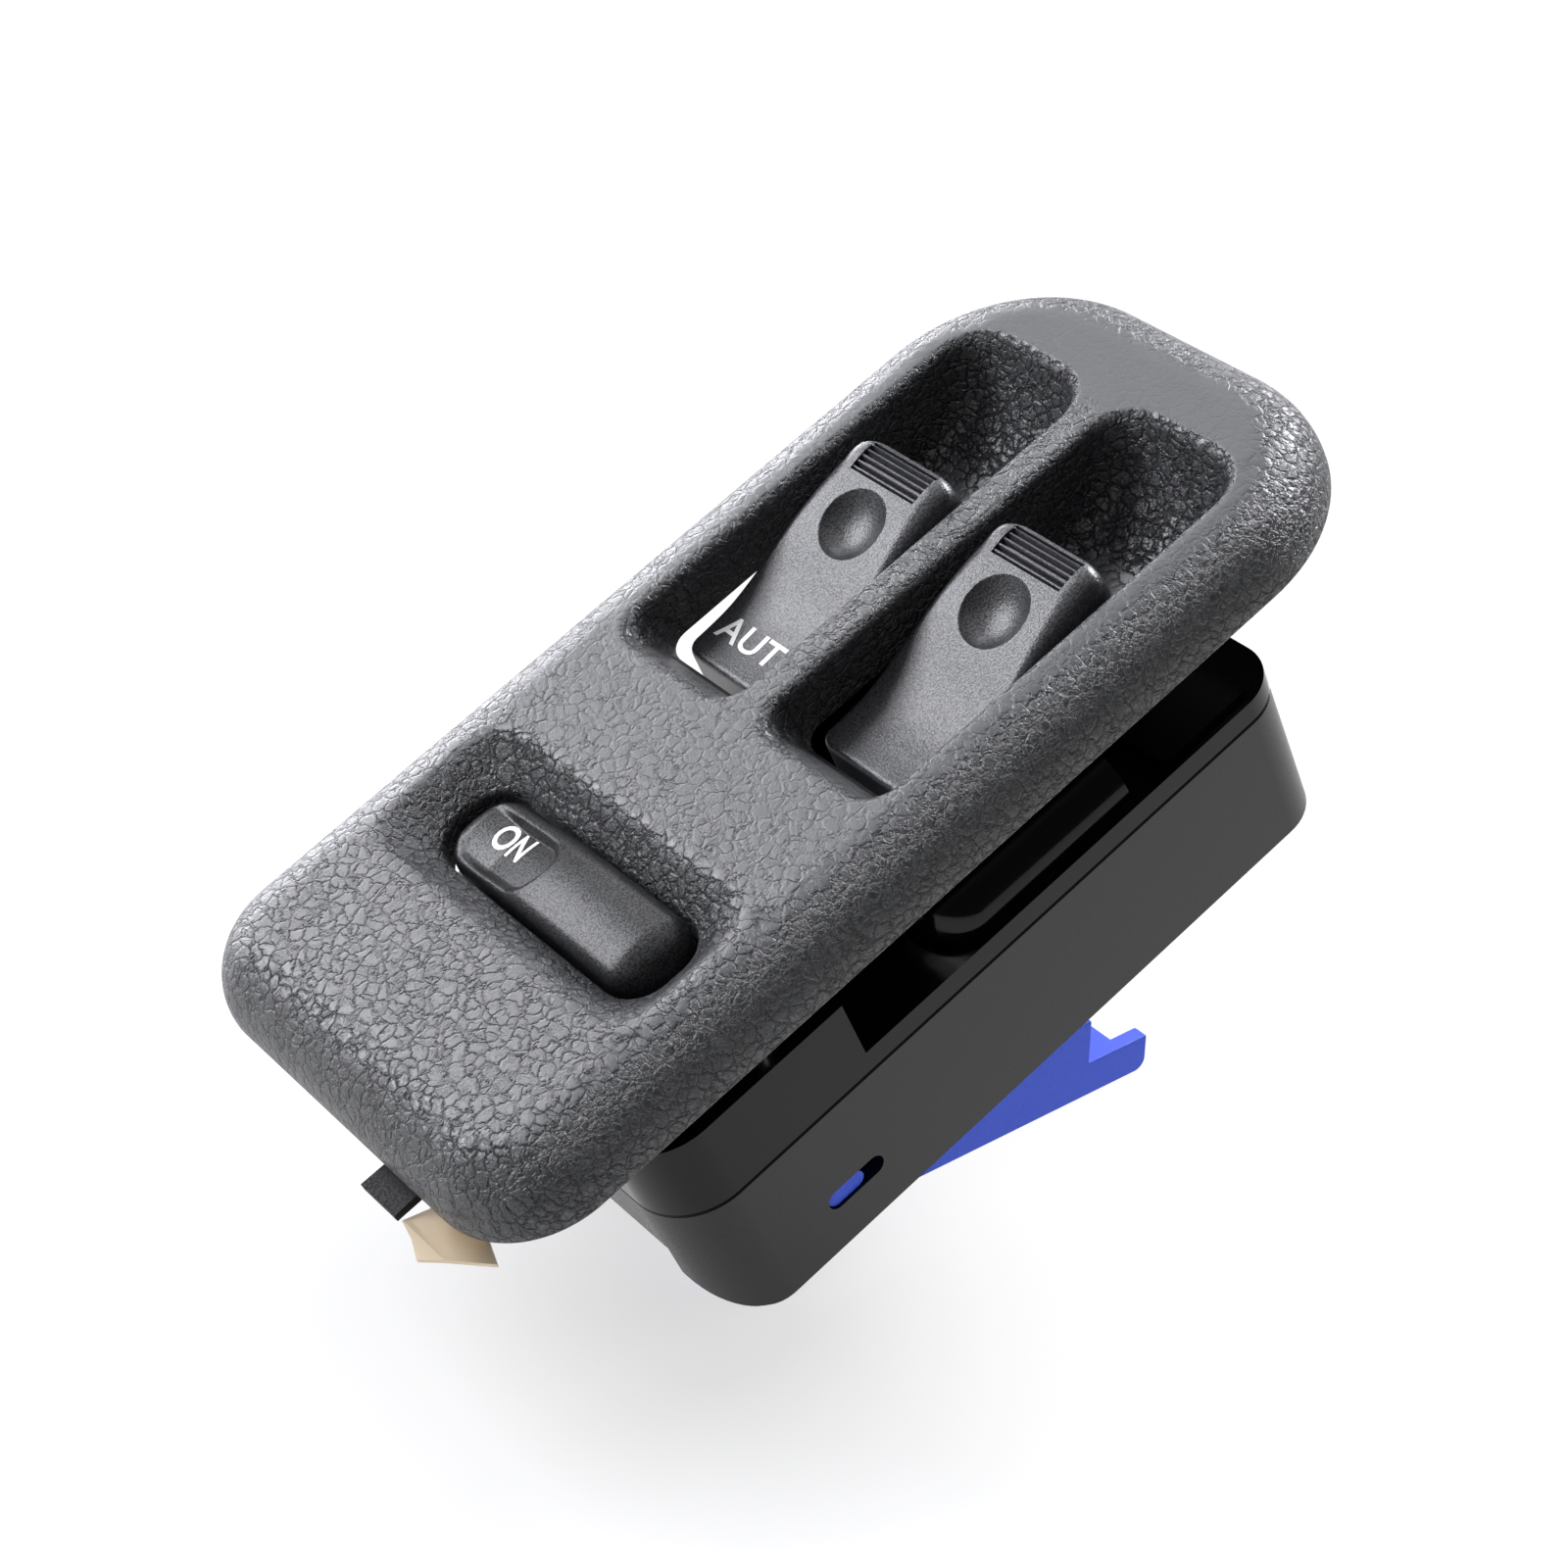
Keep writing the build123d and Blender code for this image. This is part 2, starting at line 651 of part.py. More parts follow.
def case_shape(inset, bottom_z, top_z):
    """Solid of the housing's outline, smaller by inset all round, with the rounded lower near edge."""
    with BuildPart() as shape:
        with BuildSketch(Plane.XY.offset(bottom_z)):
            add(rounded_outline(case_near_x + inset, case_far_x - inset, case_width - 2 * inset,
                                case_near_corner - inset, case_far_corner - inset))
            make_face()
        extrude(amount=top_z - bottom_z)
        with BuildSketch(Plane.XZ.offset(-case_width)):
            with Locations(((case_near_x + case_far_x) / 2, (case_bottom_z + seam_z) / 2)):
                Rectangle(case_length - 2 * inset, seam_z - case_bottom_z - 2 * inset)
            nose_corner = Vector(case_near_x + inset, case_bottom_z + inset)
            fillet(vertices().sort_by_distance(nose_corner)[0], radius=case_nose_radius - inset)
            with Locations(((case_near_x + case_far_x) / 2, (seam_z + block_top_z) / 2)):
                Rectangle(case_length - 2 * inset, block_top_z - seam_z + 2 * inset + 4)
        extrude(amount=2 * case_width, mode=Mode.INTERSECT)
    return shape.part


upper_outer = case_shape(0, seam_z, block_top_z)
screw_places = [(near_boss_x, near_boss_y), (near_boss_x, -near_boss_y), (far_boss_x, 0)]
post_places = [(post_near_x, post_near_y), (post_near_x, -post_near_y), (post_far_x, post_far_y),
               (post_far_x, -post_far_y)]

with BuildPart() as upper_case:
    add(upper_outer)
    with BuildSketch(Plane.XY.offset(deck_z)):
        with Locations((case_far_x, 0)):
            Rectangle(2 * (case_far_x - block_far_x), 2 * case_width)
    extrude(amount=block_top_z - deck_z + 1, mode=Mode.SUBTRACT)
    seam_edges = upper_case.faces().sort_by(Axis.Z)[0].edges()
    chamfer(seam_edges, length=seam_gap)
    # raised parts of the deck: two long bulges and a low platform
    for side in (-1, 1):
        bulge_start = bulge_near_x + bulge_radius
        with Locations((bulge_start, side * bulge_y, deck_z)):
            Sphere(bulge_radius)
            Cylinder(bulge_radius, bulge_far_x - bulge_start, rotation=(0, 90, 0),
                     align=(Align.CENTER, Align.CENTER, Align.MIN))
    with BuildSketch(Plane.XY.offset(deck_z)):
        with Locations(((platform_near_x + case_far_x - platform_margin - 3) / 2, 0)):
            RectangleRounded(case_far_x - platform_margin - 3 - platform_near_x,
                             case_width - 2 * platform_margin, 2)
    extrude(amount=platform_height)
    # pillar under the far bezel screw
    with BuildSketch(Plane.XY.offset(deck_z)):
        with Locations((far_boss_x, 0)):
            Circle(bezel_screw_radius + 2.7)
    extrude(amount=block_top_z - deck_z)
    # hollow of the deck, the block and the bulges
    with BuildSketch(Plane.XY.offset(seam_z - bulge_radius)):
        add(rounded_outline(case_near_x + case_wall, case_far_x - case_wall, case_width - 2 * case_wall,
                            case_near_corner - case_wall, case_far_corner - case_wall))
        make_face()
    extrude(amount=deck_z - deck_thickness - seam_z + bulge_radius, mode=Mode.SUBTRACT)
    with BuildSketch(Plane.XY.offset(seam_z - 1)):
        add(rounded_outline(case_near_x + case_wall, block_far_x - block_wall, case_width - 2 * case_wall,
                            case_near_corner - case_wall, 1))
        make_face()
    extrude(amount=block_top_z - block_wall - seam_z + 1, mode=Mode.SUBTRACT)
    for side in (-1, 1):
        with Locations((bulge_start, side * bulge_y, deck_z - deck_thickness)):
            Sphere(bulge_radius - deck_thickness / 2, mode=Mode.SUBTRACT)
            Cylinder(bulge_radius - deck_thickness / 2, bulge_far_x - bulge_start - deck_thickness,
                     rotation=(0, 90, 0), align=(Align.CENTER, Align.CENTER, Align.MIN), mode=Mode.SUBTRACT)
    # screw plates: a wide bore from inside and a through hole
    with Locations((far_boss_x, 0, deck_z - deck_thickness)):
        Cylinder(bezel_screw_radius * 2, block_top_z - block_wall - deck_z + deck_thickness,
                 align=(Align.CENTER, Align.CENTER, Align.MIN), mode=Mode.SUBTRACT)
    with Locations(*[(x, y, block_top_z - block_wall - 1) for x, y in screw_places]):
        Cylinder(bezel_screw_radius + fit, block_wall + 2, align=(Align.CENTER, Align.CENTER, Align.MIN),
                 mode=Mode.SUBTRACT)
    # posts for the case screws
    with Locations(*[(x, y, post_split_z) for x, y in post_places]):
        Cylinder(post_radius - 1, deck_z - deck_thickness - post_split_z + 0.5,
                 align=(Align.CENTER, Align.CENTER, Align.MIN))
        Cylinder(case_screw_radius + touch, case_screw_seat_z + case_screw_length - post_split_z + 0.5,
                 align=(Align.CENTER, Align.CENTER, Align.MIN), mode=Mode.SUBTRACT)
    # ears that carry the pivot pins of the keys and of the lock rocker
    for key_y in key_ys.values():
        for side in (-1, 1):
            ear_y = key_y + side * (ear_half + ear_thickness / 2)
            with Locations((key_pivot_x, ear_y, deck_z - 0.5)):
                Box(2 * ear_radius, ear_thickness, key_pivot_z - deck_z + 0.5,
                    align=(Align.CENTER, Align.CENTER, Align.MIN))
            with Locations(Location((key_pivot_x, ear_y, key_pivot_z), (90, 0, 0))):
                Cylinder(ear_radius, ear_thickness)
        with Locations((key_pivot_x, key_y, deck_z - deck_thickness - bulge_radius)):
            Box(2 * (tube_radius + 3), 2 * ear_half, 2 * bulge_radius + deck_thickness + 2,
                align=(Align.CENTER, Align.CENTER, Align.MIN), mode=Mode.SUBTRACT)
        with Locations(Location((key_pivot_x, key_y, key_pivot_z), (90, 0, 0))):
            Cylinder(key_pin_radius + touch, 2 * (ear_half + ear_thickness) + 1, mode=Mode.SUBTRACT)
    for side in (-1, 1):
        ear_x = lock_x + side * (ear_half + lock_ear_thickness / 2)
        with Locations((ear_x, 0, block_top_z - 0.5)):
            Box(lock_ear_thickness, 2 * lock_ear_radius, lock_pivot_z - block_top_z + 0.5,
                align=(Align.CENTER, Align.CENTER, Align.MIN))
        with Locations(Location((ear_x, 0, lock_pivot_z), (0, 90, 0))):
            Cylinder(lock_ear_radius, lock_ear_thickness)
    with Locations((lock_x, 0, block_top_z - block_wall - 1)):
        Box(2 * ear_half, 2 * (tube_radius + 1.2), block_wall + 2,
            align=(Align.CENTER, Align.CENTER, Align.MIN), mode=Mode.SUBTRACT)
    with Locations(Location((lock_x, 0, lock_pivot_z), (0, 90, 0))):
        Cylinder(lock_pin_radius + touch, 2 * (ear_half + lock_ear_thickness) + 1, mode=Mode.SUBTRACT)
upper_case.part.label = "upper_case"
export_step(upper_case.part, "parts/upper_case.step")

# ---------------------------------------------------------------- lower case
bay_half = bay_width / 2
standoff_places = [(board_screw_near_x, board_screw_y), (board_screw_near_x, -board_screw_y),
                   (board_screw_far_x, board_screw_y), (board_screw_far_x, -board_screw_y)]
boss_tip_y = lever_face_y - lever_arm - 2 * fit
slide_inner_y = bay_half + case_wall + slide_wall_gap + slide_thickness
lower_outer = case_shape(0, case_bottom_z, seam_z)
lower_inner = case_shape(case_wall, case_bottom_z + case_wall, seam_z + 1)

with BuildPart() as bay_block:
    add(lower_outer)
    with BuildSketch(Plane.XY.offset(case_bottom_z)):
        with Locations(((case_near_x + bay_far_x + case_wall) / 2, 0)):
            Rectangle(bay_far_x + case_wall - case_near_x, bay_width + 2 * case_wall)
    extrude(amount=bay_ceiling_z + case_wall - case_bottom_z, mode=Mode.INTERSECT)

with BuildPart() as lower_case:
    add(lower_outer)
    chamfer(lower_case.faces().sort_by(Axis.Z)[-1].edges(), length=seam_gap)
    add(lower_inner, mode=Mode.SUBTRACT)
    add(bay_block.part)
    with Locations(*[(x, y, case_bottom_z) for x, y in post_places]):
        Cylinder(post_radius, post_split_z - case_bottom_z, align=(Align.CENTER, Align.CENTER, Align.MIN))
    add(lower_outer, mode=Mode.INTERSECT)
    # connector bay, open below and at the near end, and the window that the header comes through
    with BuildSketch(Plane.XY.offset(bay_ceiling_z)):
        with Locations(((bay_far_x + case_near_x - 20) / 2, 0)):
            Rectangle(bay_far_x - case_near_x + 20, bay_width)
    extrude(amount=-(bay_ceiling_z - case_bottom_z + 5), mode=Mode.SUBTRACT)
    with BuildSketch(Plane.XY.offset(bay_ceiling_z - 1)):
        with Locations(((header_near_x + header_far_x) / 2, 0)):
            RectangleRounded(header_far_x - header_near_x + 2 * fit, header_width + 2 * fit, 1.0)
    extrude(amount=case_wall + 2, mode=Mode.SUBTRACT)
    # case screw holes, counterbored from below
    with Locations(*[(x, y, case_bottom_z - 1) for x, y in post_places]):
        Cylinder(post_radius - 1, case_screw_seat_z - case_bottom_z + 1,
                 align=(Align.CENTER, Align.CENTER, Align.MIN), mode=Mode.SUBTRACT)
        Cylinder(case_screw_radius + fit, post_split_z - case_bottom_z + 2,
                 align=(Align.CENTER, Align.CENTER, Align.MIN), mode=Mode.SUBTRACT)
    # standoffs below the circuit board
    with Locations(*[(x, y, bay_ceiling_z + case_wall) for x, y in standoff_places]):
        Cylinder(standoff_radius, board_bottom_z - bay_ceiling_z - case_wall,
                 align=(Align.CENTER, Align.CENTER, Align.MIN))
    with Locations(*[(x, y, board_top_z - board_screw_length) for x, y in standoff_places]):
        Cylinder(board_screw_radius + touch, board_screw_length,
                 align=(Align.CENTER, Align.CENTER, Align.MIN), mode=Mode.SUBTRACT)
    # pivot bosses of the lever and the two slots of the slide
    for side in (-1, 1):
        boss_y = side * (bay_half + boss_tip_y) / 2
        with Locations(Location((lever_pivot_x, boss_y, lever_pivot_z), (90, 0, 0))):
            Cylinder(lever_pin_radius, bay_half - boss_tip_y)
    with BuildSketch(Plane.XZ.offset(bay_half + case_wall + 1)):
        with Locations((slot_x, slot_z)):
            SlotOverall(slot_length, slot_height)
    extrude(amount=case_width, mode=Mode.SUBTRACT)
    with BuildSketch(Plane.XZ.offset(bay_half - 1)):
        with Locations((slot_x, slot_z)):
            SlotOverall(slide_travel + 2 * slide_pin_radius + 2 * running, 2 * (slide_pin_radius + running))
    extrude(amount=case_wall + 2, mode=Mode.SUBTRACT)
lower_case.part.label = "lower_case"
export_step(lower_case.part, "parts/lower_case.step")

# ---------------------------------------------------------------- connector lever and its slide
lean = math.radians(lever_open)
lever_plane = Plane(origin=(lever_pivot_x, 0, lever_pivot_z), x_dir=(math.cos(lean), 0, -math.sin(lean)),
                    z_dir=(0, -1, 0))

with BuildPart() as connector_lever:
    with BuildSketch(lever_plane.offset(-lever_face_y)):
        Circle(lever_under)
        with BuildLine():
            Polyline(
                (0, -lever_under),
                (lever_length, -lever_under),
                (lever_length, lever_foot_height - lever_under),
                (lever_step_x, lever_foot_height - lever_under),
                (lever_step_x, lever_top),
                (lever_under * 2, lever_top),
                (0, lever_under),
                (0, -lever_under),
            )
        make_face()
        fillet(vertices().sort_by_distance((lever_length, -lever_under))[0], radius=1.8)
        Circle(lever_pin_radius + pivot_clearance, mode=Mode.SUBTRACT)
    extrude(amount=2 * lever_face_y)
    with BuildSketch(lever_plane.offset(-lever_face_y + lever_arm)):
        Rectangle(4 * lever_length, 4 * lever_under)
    extrude(amount=2 * (lever_face_y - lever_arm), mode=Mode.SUBTRACT)
    with BuildSketch(lever_plane.offset(-lever_face_y)):
        with Locations((lever_step_x + lever_web_length / 2,
                        lever_foot_height - lever_under - lever_web_thickness / 2)):
            Rectangle(lever_web_length, lever_web_thickness)
    extrude(amount=2 * lever_face_y)
connector_lever.part.label = "connector_lever"
export_step(connector_lever.part, "parts/connector_lever.step")

with BuildPart() as connector_slide:
    slide_x = slot_x - slide_travel / 2
    with Locations((slide_x, -slide_inner_y + slide_thickness / 2, slot_z)):
        Box(slide_length, slide_thickness, slide_height)
    fillet(connector_slide.edges().filter_by(Axis.Y), radius=1.0)
    with BuildSketch(Plane.XZ.offset(slide_inner_y)):
        with Locations((slide_x, slot_z)):
            SlotOverall(slot_length - slide_travel - 2 * running, slot_height - 2 * running)
    extrude(amount=case_width / 2 - slide_face_inset - slide_inner_y)
    with BuildSketch(Plane.XZ.offset(bay_half - 0.2)):
        with Locations((slide_x, slot_z)):
            Circle(slide_pin_radius)
    extrude(amount=slide_inner_y - bay_half)
connector_slide.part.label = "connector_slide"
export_step(connector_slide.part, "parts/connector_slide.step")

# ---------------------------------------------------------------- circuit board and what it carries
header_x = (header_near_x + header_far_x) / 2
header_length = header_far_x - header_near_x
pin_places = [
    (header_x + (column - (pin_columns - 1) / 2) * pin_pitch, row * pin_row_gap / 2)
    for column in range(pin_columns)
    for row in (-1, 1)
]

with BuildPart() as circuit_board:
    with Locations(((board_near_x + board_far_x) / 2, 0, board_bottom_z)):
        Box(board_far_x - board_near_x, board_width, board_thickness,
            align=(Align.CENTER, Align.CENTER, Align.MIN))
    chamfer(circuit_board.edges().filter_by(Axis.Z), length=case_near_corner / 2)
    with Locations(*[(x, y, board_bottom_z) for x, y in pin_places]):
        Cylinder(pin_size * 0.78, board_thickness, align=(Align.CENTER, Align.CENTER, Align.MIN),
                 mode=Mode.SUBTRACT)
    with Locations(*[(x, y, board_bottom_z) for x, y in standoff_places]):
        Cylinder(board_screw_radius + fit, board_thickness, align=(Align.CENTER, Align.CENTER, Align.MIN),
                 mode=Mode.SUBTRACT)
circuit_board.part.label = "circuit_board"
export_step(circuit_board.part, "parts/circuit_board.step")

with BuildPart() as connector_header:
    with Locations((header_x, 0, board_bottom_z)):
        Box(header_length, header_width, board_bottom_z - header_mouth_z,
            align=(Align.CENTER, Align.CENTER, Align.MAX))
    fillet(connector_header.edges().filter_by(Axis.Z), radius=header_corner)
    with Locations((header_x, 0, header_floor_z)):
        Box(header_length - 2 * header_wall, header_width - 2 * header_wall, header_floor_z - header_mouth_z,
            align=(Align.CENTER, Align.CENTER, Align.MAX), mode=Mode.SUBTRACT)
    with Locations(*[(x, y, board_bottom_z) for x, y in pin_places]):
        Cylinder(pin_size * 0.78, board_bottom_z - header_floor_z,
                 align=(Align.CENTER, Align.CENTER, Align.MAX), mode=Mode.SUBTRACT)
    # keying rib on one long wall of the socket
    with Locations((header_x, header_width / 2 - header_wall, header_mouth_z + 1)):
        Box(header_rib_width, header_rib_height, header_floor_z - header_mouth_z - 1,
            align=(Align.CENTER, Align.CENTER, Align.MIN))
connector_header.part.label = "connector_header"
export_step(connector_header.part, "parts/connector_header.step")

with BuildPart() as header_terminals:
    with Locations(*[(x, y, pin_tip_z) for x, y in pin_places]):
        Box(pin_size, pin_size, pin_top_z - pin_tip_z, align=(Align.CENTER, Align.CENTER, Align.MIN))
    chamfer(header_terminals.faces().group_by(Axis.Z)[0].edges(), length=0.18)
header_terminals.part.label = "header_terminals"
export_step(header_terminals.part, "parts/header_terminals.step")

for relay_name, side in (("left", 1), ("right", -1)):
    with BuildPart() as relay:
        with Locations((board_far_x - relay_edge_gap, side * relay_gap / 2, board_bottom_z)):
            Box(relay_length, relay_width, relay_height,
                align=(Align.MAX, Align.MIN if side > 0 else Align.MAX, Align.MAX))
        fillet(relay.edges().filter_by(Axis.Z), radius=0.6)
        chamfer(relay.faces().sort_by(Axis.Z)[0].edges(), length=0.3)
    relay.part.label = f"relay_{relay_name}"
    export_step(relay.part, f"parts/relay_{relay_name}.step")

with BuildPart() as control_chip:
    with Locations((header_x, chip_y, board_top_z + chip_standoff)):
        Box(chip_length, chip_width, chip_height, align=(Align.CENTER, Align.CENTER, Align.MIN))
    with Locations((header_x, chip_y, board_top_z)):
        with GridLocations(chip_leg_pitch, chip_width + chip_leg_length - 0.2, chip_leg_count, 2):
            Box(chip_leg_width, chip_leg_length, chip_leg_height,
                align=(Align.CENTER, Align.CENTER, Align.MIN))
control_chip.part.label = "control_chip"
export_step(control_chip.part, "parts/control_chip.step")

with BuildPart() as filter_capacitor:
    with Locations((header_x - capacitor_offset, capacitor_y, board_top_z)):
        Cylinder(capacitor_radius, capacitor_height, align=(Align.CENTER, Align.CENTER, Align.MIN))
    fillet(filter_capacitor.faces().sort_by(Axis.Z)[-1].edges(), radius=0.5)
filter_capacitor.part.label = "filter_capacitor"
export_step(filter_capacitor.part, "parts/filter_capacitor.step")

with BuildPart() as board_resistors:
    with Locations((header_x + resistor_offset, resistor_y, board_top_z)):
        with GridLocations(resistor_pitch, resistor_row_gap, 3, 2):
            Box(resistor_width, resistor_length, resistor_height,
                align=(Align.CENTER, Align.CENTER, Align.MIN))
board_resistors.part.label = "board_resistors"
export_step(board_resistors.part, "parts/board_resistors.step")

with BuildPart() as suppressor_diodes:
    with Locations((board_far_x - diode_inset, 0, board_top_z)):
        with GridLocations(diode_width, diode_row_gap, 1, 2):
            Box(diode_width, diode_length, diode_height, align=(Align.CENTER, Align.CENTER, Align.MIN))
suppressor_diodes.part.label = "suppressor_diodes"
export_step(suppressor_diodes.part, "parts/suppressor_diodes.step")


# ---------------------------------------------------------------- contact sets below the keys
def make_plunger(plane, pivot_z, name):
    """Round-nosed plunger that rides in a key's tube; its plane lies in the pivot axis."""
    nose_z = plunger_tip_z - pivot_z
    with BuildPart(plane) as plunger:
        with Locations((0, 0, nose_z + plunger_radius)):
            Sphere(plunger_radius)
            Cylinder(plunger_radius, spring_top_z - spring_length - plunger_tip_z - plunger_radius,
                     align=(Align.CENTER, Align.CENTER, Align.MIN))
    plunger.part.label = f"{name}_plunger"
    export_step(plunger.part, f"parts/{name}_plunger.step")


coil_height = spring_length - spring_wire - 4 * touch
with BuildPart() as coil_shape:
    with BuildLine() as coil:
        Helix(pitch=coil_height / spring_turns, height=coil_height,
              radius=plunger_radius - spring_wire / 2 - touch)
    with BuildSketch(Plane(origin=coil.line @ 0, z_dir=coil.line % 0)):
        Circle(spring_wire / 2)
    sweep(path=coil.line)


def make_spring(plane, pivot_z, name):
    """Coil spring between the plunger and the blind end of the tube."""
    start_z = spring_top_z - pivot_z - spring_length + spring_wire / 2 + touch
    with BuildPart() as spring:
        with Locations(plane.offset(start_z).location):
            add(coil_shape.part)
    spring.part.label = f"{name}_return_spring"
    export_step(spring.part, f"parts/{name}_return_spring.step")


def make_seesaw(plane, name):
    """Contact plate that rocks on the middle contact; its plane's origin is the top of that contact."""
    with BuildPart(plane) as seesaw:
        with Locations((0, 0, touch)):
            Box(seesaw_length, seesaw_width, seesaw_thickness, align=(Align.CENTER, Align.CENTER, Align.MIN))
        fillet(seesaw.edges().group_by(SortBy.LENGTH)[0], radius=0.24)
    seesaw.part.label = f"{name}_contact"
    export_step(seesaw.part, f"parts/{name}_contact.step")


contact_sets = {
    "auto": (key_pivot_x, key_ys["auto"], "x", 0.0, 0.0),
    "plain": (key_pivot_x, key_ys["plain"], "x", 0.0, 0.0),
    "lock": (lock_x, 0.0, "y", -lock_rest_tilt, seesaw_tilt),
}
for set_name, (set_x, set_y, travel, stem_tilt, rest_tilt) in contact_sets.items():
    pivot_z = lock_pivot_z if set_name == "lock" else key_pivot_z
    stem_plane = travel_plane(set_x, set_y, pivot_z, travel, stem_tilt)
    make_plunger(stem_plane, pivot_z, set_name)
    make_spring(stem_plane, pivot_z, set_name)
    make_seesaw(travel_plane(set_x, set_y, board_top_z + fulcrum_height, travel, rest_tilt), set_name)

with BuildPart() as fixed_contacts:
    for set_x, set_y, travel, stem_tilt, rest_tilt in contact_sets.values():
        turn = 0 if travel == "x" else 90
        with Locations(Location((set_x, set_y, board_top_z), (0, 0, turn))):
            Box(1.0, seesaw_width, fulcrum_height, align=(Align.CENTER, Align.CENTER, Align.MIN))
            with GridLocations(2 * contact_pad_offset, 1, 2, 1):
                Box(2.6, seesaw_width, contact_pad_height, align=(Align.CENTER, Align.CENTER, Align.MIN))
fixed_contacts.part.label = "fixed_contacts"
export_step(fixed_contacts.part, "parts/fixed_contacts.step")

# ---------------------------------------------------------------- pivot pins and screws
with BuildPart() as key_pivot_pins:
    with Locations(*[Location((key_pivot_x, key_y, key_pivot_z), (90, 0, 0)) for key_y in key_ys.values()]):
        Cylinder(key_pin_radius, 2 * (ear_half + ear_thickness) + 0.6)
key_pivot_pins.part.label = "key_pivot_pins"
export_step(key_pivot_pins.part, "parts/key_pivot_pins.step")

with BuildPart() as lock_pivot_pin:
    with Locations(Location((lock_x, 0, lock_pivot_z), (0, 90, 0))):
        Cylinder(lock_pin_radius, 2 * (ear_half + lock_ear_thickness) + 0.2)
lock_pivot_pin.part.label = "lock_pivot_pin"
export_step(lock_pivot_pin.part, "parts/lock_pivot_pin.step")


def screw_shape(shank_radius, length):
    """Pan-head screw standing on its head's seat, shank upwards, with a cross recess in the head below."""
    head_radius = 1.7 * shank_radius
    head_height = 1.1 * shank_radius
    with BuildPart() as screw:
        Cylinder(head_radius, head_height, align=(Align.CENTER, Align.CENTER, Align.MAX))
        fillet(screw.faces().sort_by(Axis.Z)[0].edges(), radius=0.5 * head_height)
        Cylinder(shank_radius, length, align=(Align.CENTER, Align.CENTER, Align.MIN))
        chamfer(screw.faces().sort_by(Axis.Z)[-1].edges(), length=0.4 * shank_radius)
        with Locations((0, 0, -head_height)):
            Box(1.6 * shank_radius, 0.4 * shank_radius, head_height, mode=Mode.SUBTRACT)
            Box(0.4 * shank_radius, 1.6 * shank_radius, head_height, mode=Mode.SUBTRACT)
    return screw.part


with BuildPart() as bezel_screws:
    with Locations(*[(x, y, block_top_z - block_wall) for x, y in screw_places]):
        add(screw_shape(bezel_screw_radius, bezel_screw_length))
bezel_screws.part.label = "bezel_screws"
export_step(bezel_screws.part, "parts/bezel_screws.step")

with BuildPart() as case_screws:
    with Locations(*[(x, y, case_screw_seat_z) for x, y in post_places]):
        add(screw_shape(case_screw_radius, case_screw_length))
case_screws.part.label = "case_screws"
export_step(case_screws.part, "parts/case_screws.step")

with BuildPart() as board_screws:
    with Locations(*[Location((x, y, board_top_z), (180, 0, 0)) for x, y in standoff_places]):
        add(screw_shape(board_screw_radius, board_screw_length - 0.4))
board_screws.part.label = "board_screws"
export_step(board_screws.part, "parts/board_screws.step")
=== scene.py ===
"""Looks of a power window switch: bezel, window keys, lock rocker, case, connector lever, board parts.

Lengths in the shape functions are millimetres in the part's own frame; mesh_piece turns them to metres.
"""

import math

import bmesh
import bpy
import numpy as np
from mathutils import Matrix, Vector
from mathutils.geometry import delaunay_2d_cdt


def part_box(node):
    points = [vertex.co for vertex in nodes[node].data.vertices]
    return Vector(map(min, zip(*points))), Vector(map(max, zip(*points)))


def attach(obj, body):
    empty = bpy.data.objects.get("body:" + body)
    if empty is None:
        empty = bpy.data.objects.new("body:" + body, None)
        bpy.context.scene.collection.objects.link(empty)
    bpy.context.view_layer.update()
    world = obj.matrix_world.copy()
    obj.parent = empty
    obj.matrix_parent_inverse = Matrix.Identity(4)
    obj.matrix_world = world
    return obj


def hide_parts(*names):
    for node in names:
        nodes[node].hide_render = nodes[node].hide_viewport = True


MM = 0.001
BEZEL_COLOUR = "#26282d"
# colour of the painted shade mixed into the leather's creases
CREASE_SHADE_COLOUR = "#0f1013"
KEY_COLOUR = "#202126"
LAMP_COLOUR = (0.94, 0.945, 1.0)

# ------------------------------------------------------------------ the frame
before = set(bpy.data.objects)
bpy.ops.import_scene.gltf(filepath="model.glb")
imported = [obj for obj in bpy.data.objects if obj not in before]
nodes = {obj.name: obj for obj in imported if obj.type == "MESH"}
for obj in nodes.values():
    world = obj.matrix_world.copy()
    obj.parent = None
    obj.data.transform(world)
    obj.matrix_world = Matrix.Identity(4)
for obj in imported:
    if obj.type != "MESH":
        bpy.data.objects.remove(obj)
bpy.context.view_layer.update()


def node_box(name):
    """Lowest and highest corner of a CAD node in millimetres, as two arrays."""
    low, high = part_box(name)
    return np.array(low) / MM, np.array(high) / MM


_, bezel_high = node_box("bezel")
auto_low, auto_high = node_box("window_key_auto")
rocker_low, rocker_high = node_box("lock_rocker")

# ------------------------------------------------------------------ sizes of the visible skins, in mm
BEZEL_TOP = bezel_high[2]
BEZEL_HALF_LENGTH = bezel_high[0]
BEZEL_HALF_WIDTH = bezel_high[1]
BEZEL_EDGE = 8.8
BEZEL_WALL = 2.4
NEAR_CORNER = 14.0
FAR_CORNER = 25.0
POCKET_Y = (auto_low[1] + auto_high[1]) / 2
POCKET_HALF = 12.2
POCKET_INNER = 11.4
POCKET_NEAR = -6.2
POCKET_FAR = 59.4
POCKET_OPEN_TO = 28.5
TUB_BOTTOM = 1.0
WELL_FLOOR = -4.5
WELL_ARC_X = 39.5
WELL_DEPTH = BEZEL_TOP - WELL_FLOOR
WELL_RADIUS = ((POCKET_FAR - WELL_ARC_X) ** 2 + WELL_DEPTH ** 2) / (2 * WELL_DEPTH)
OUTER_LEAN = 4.0
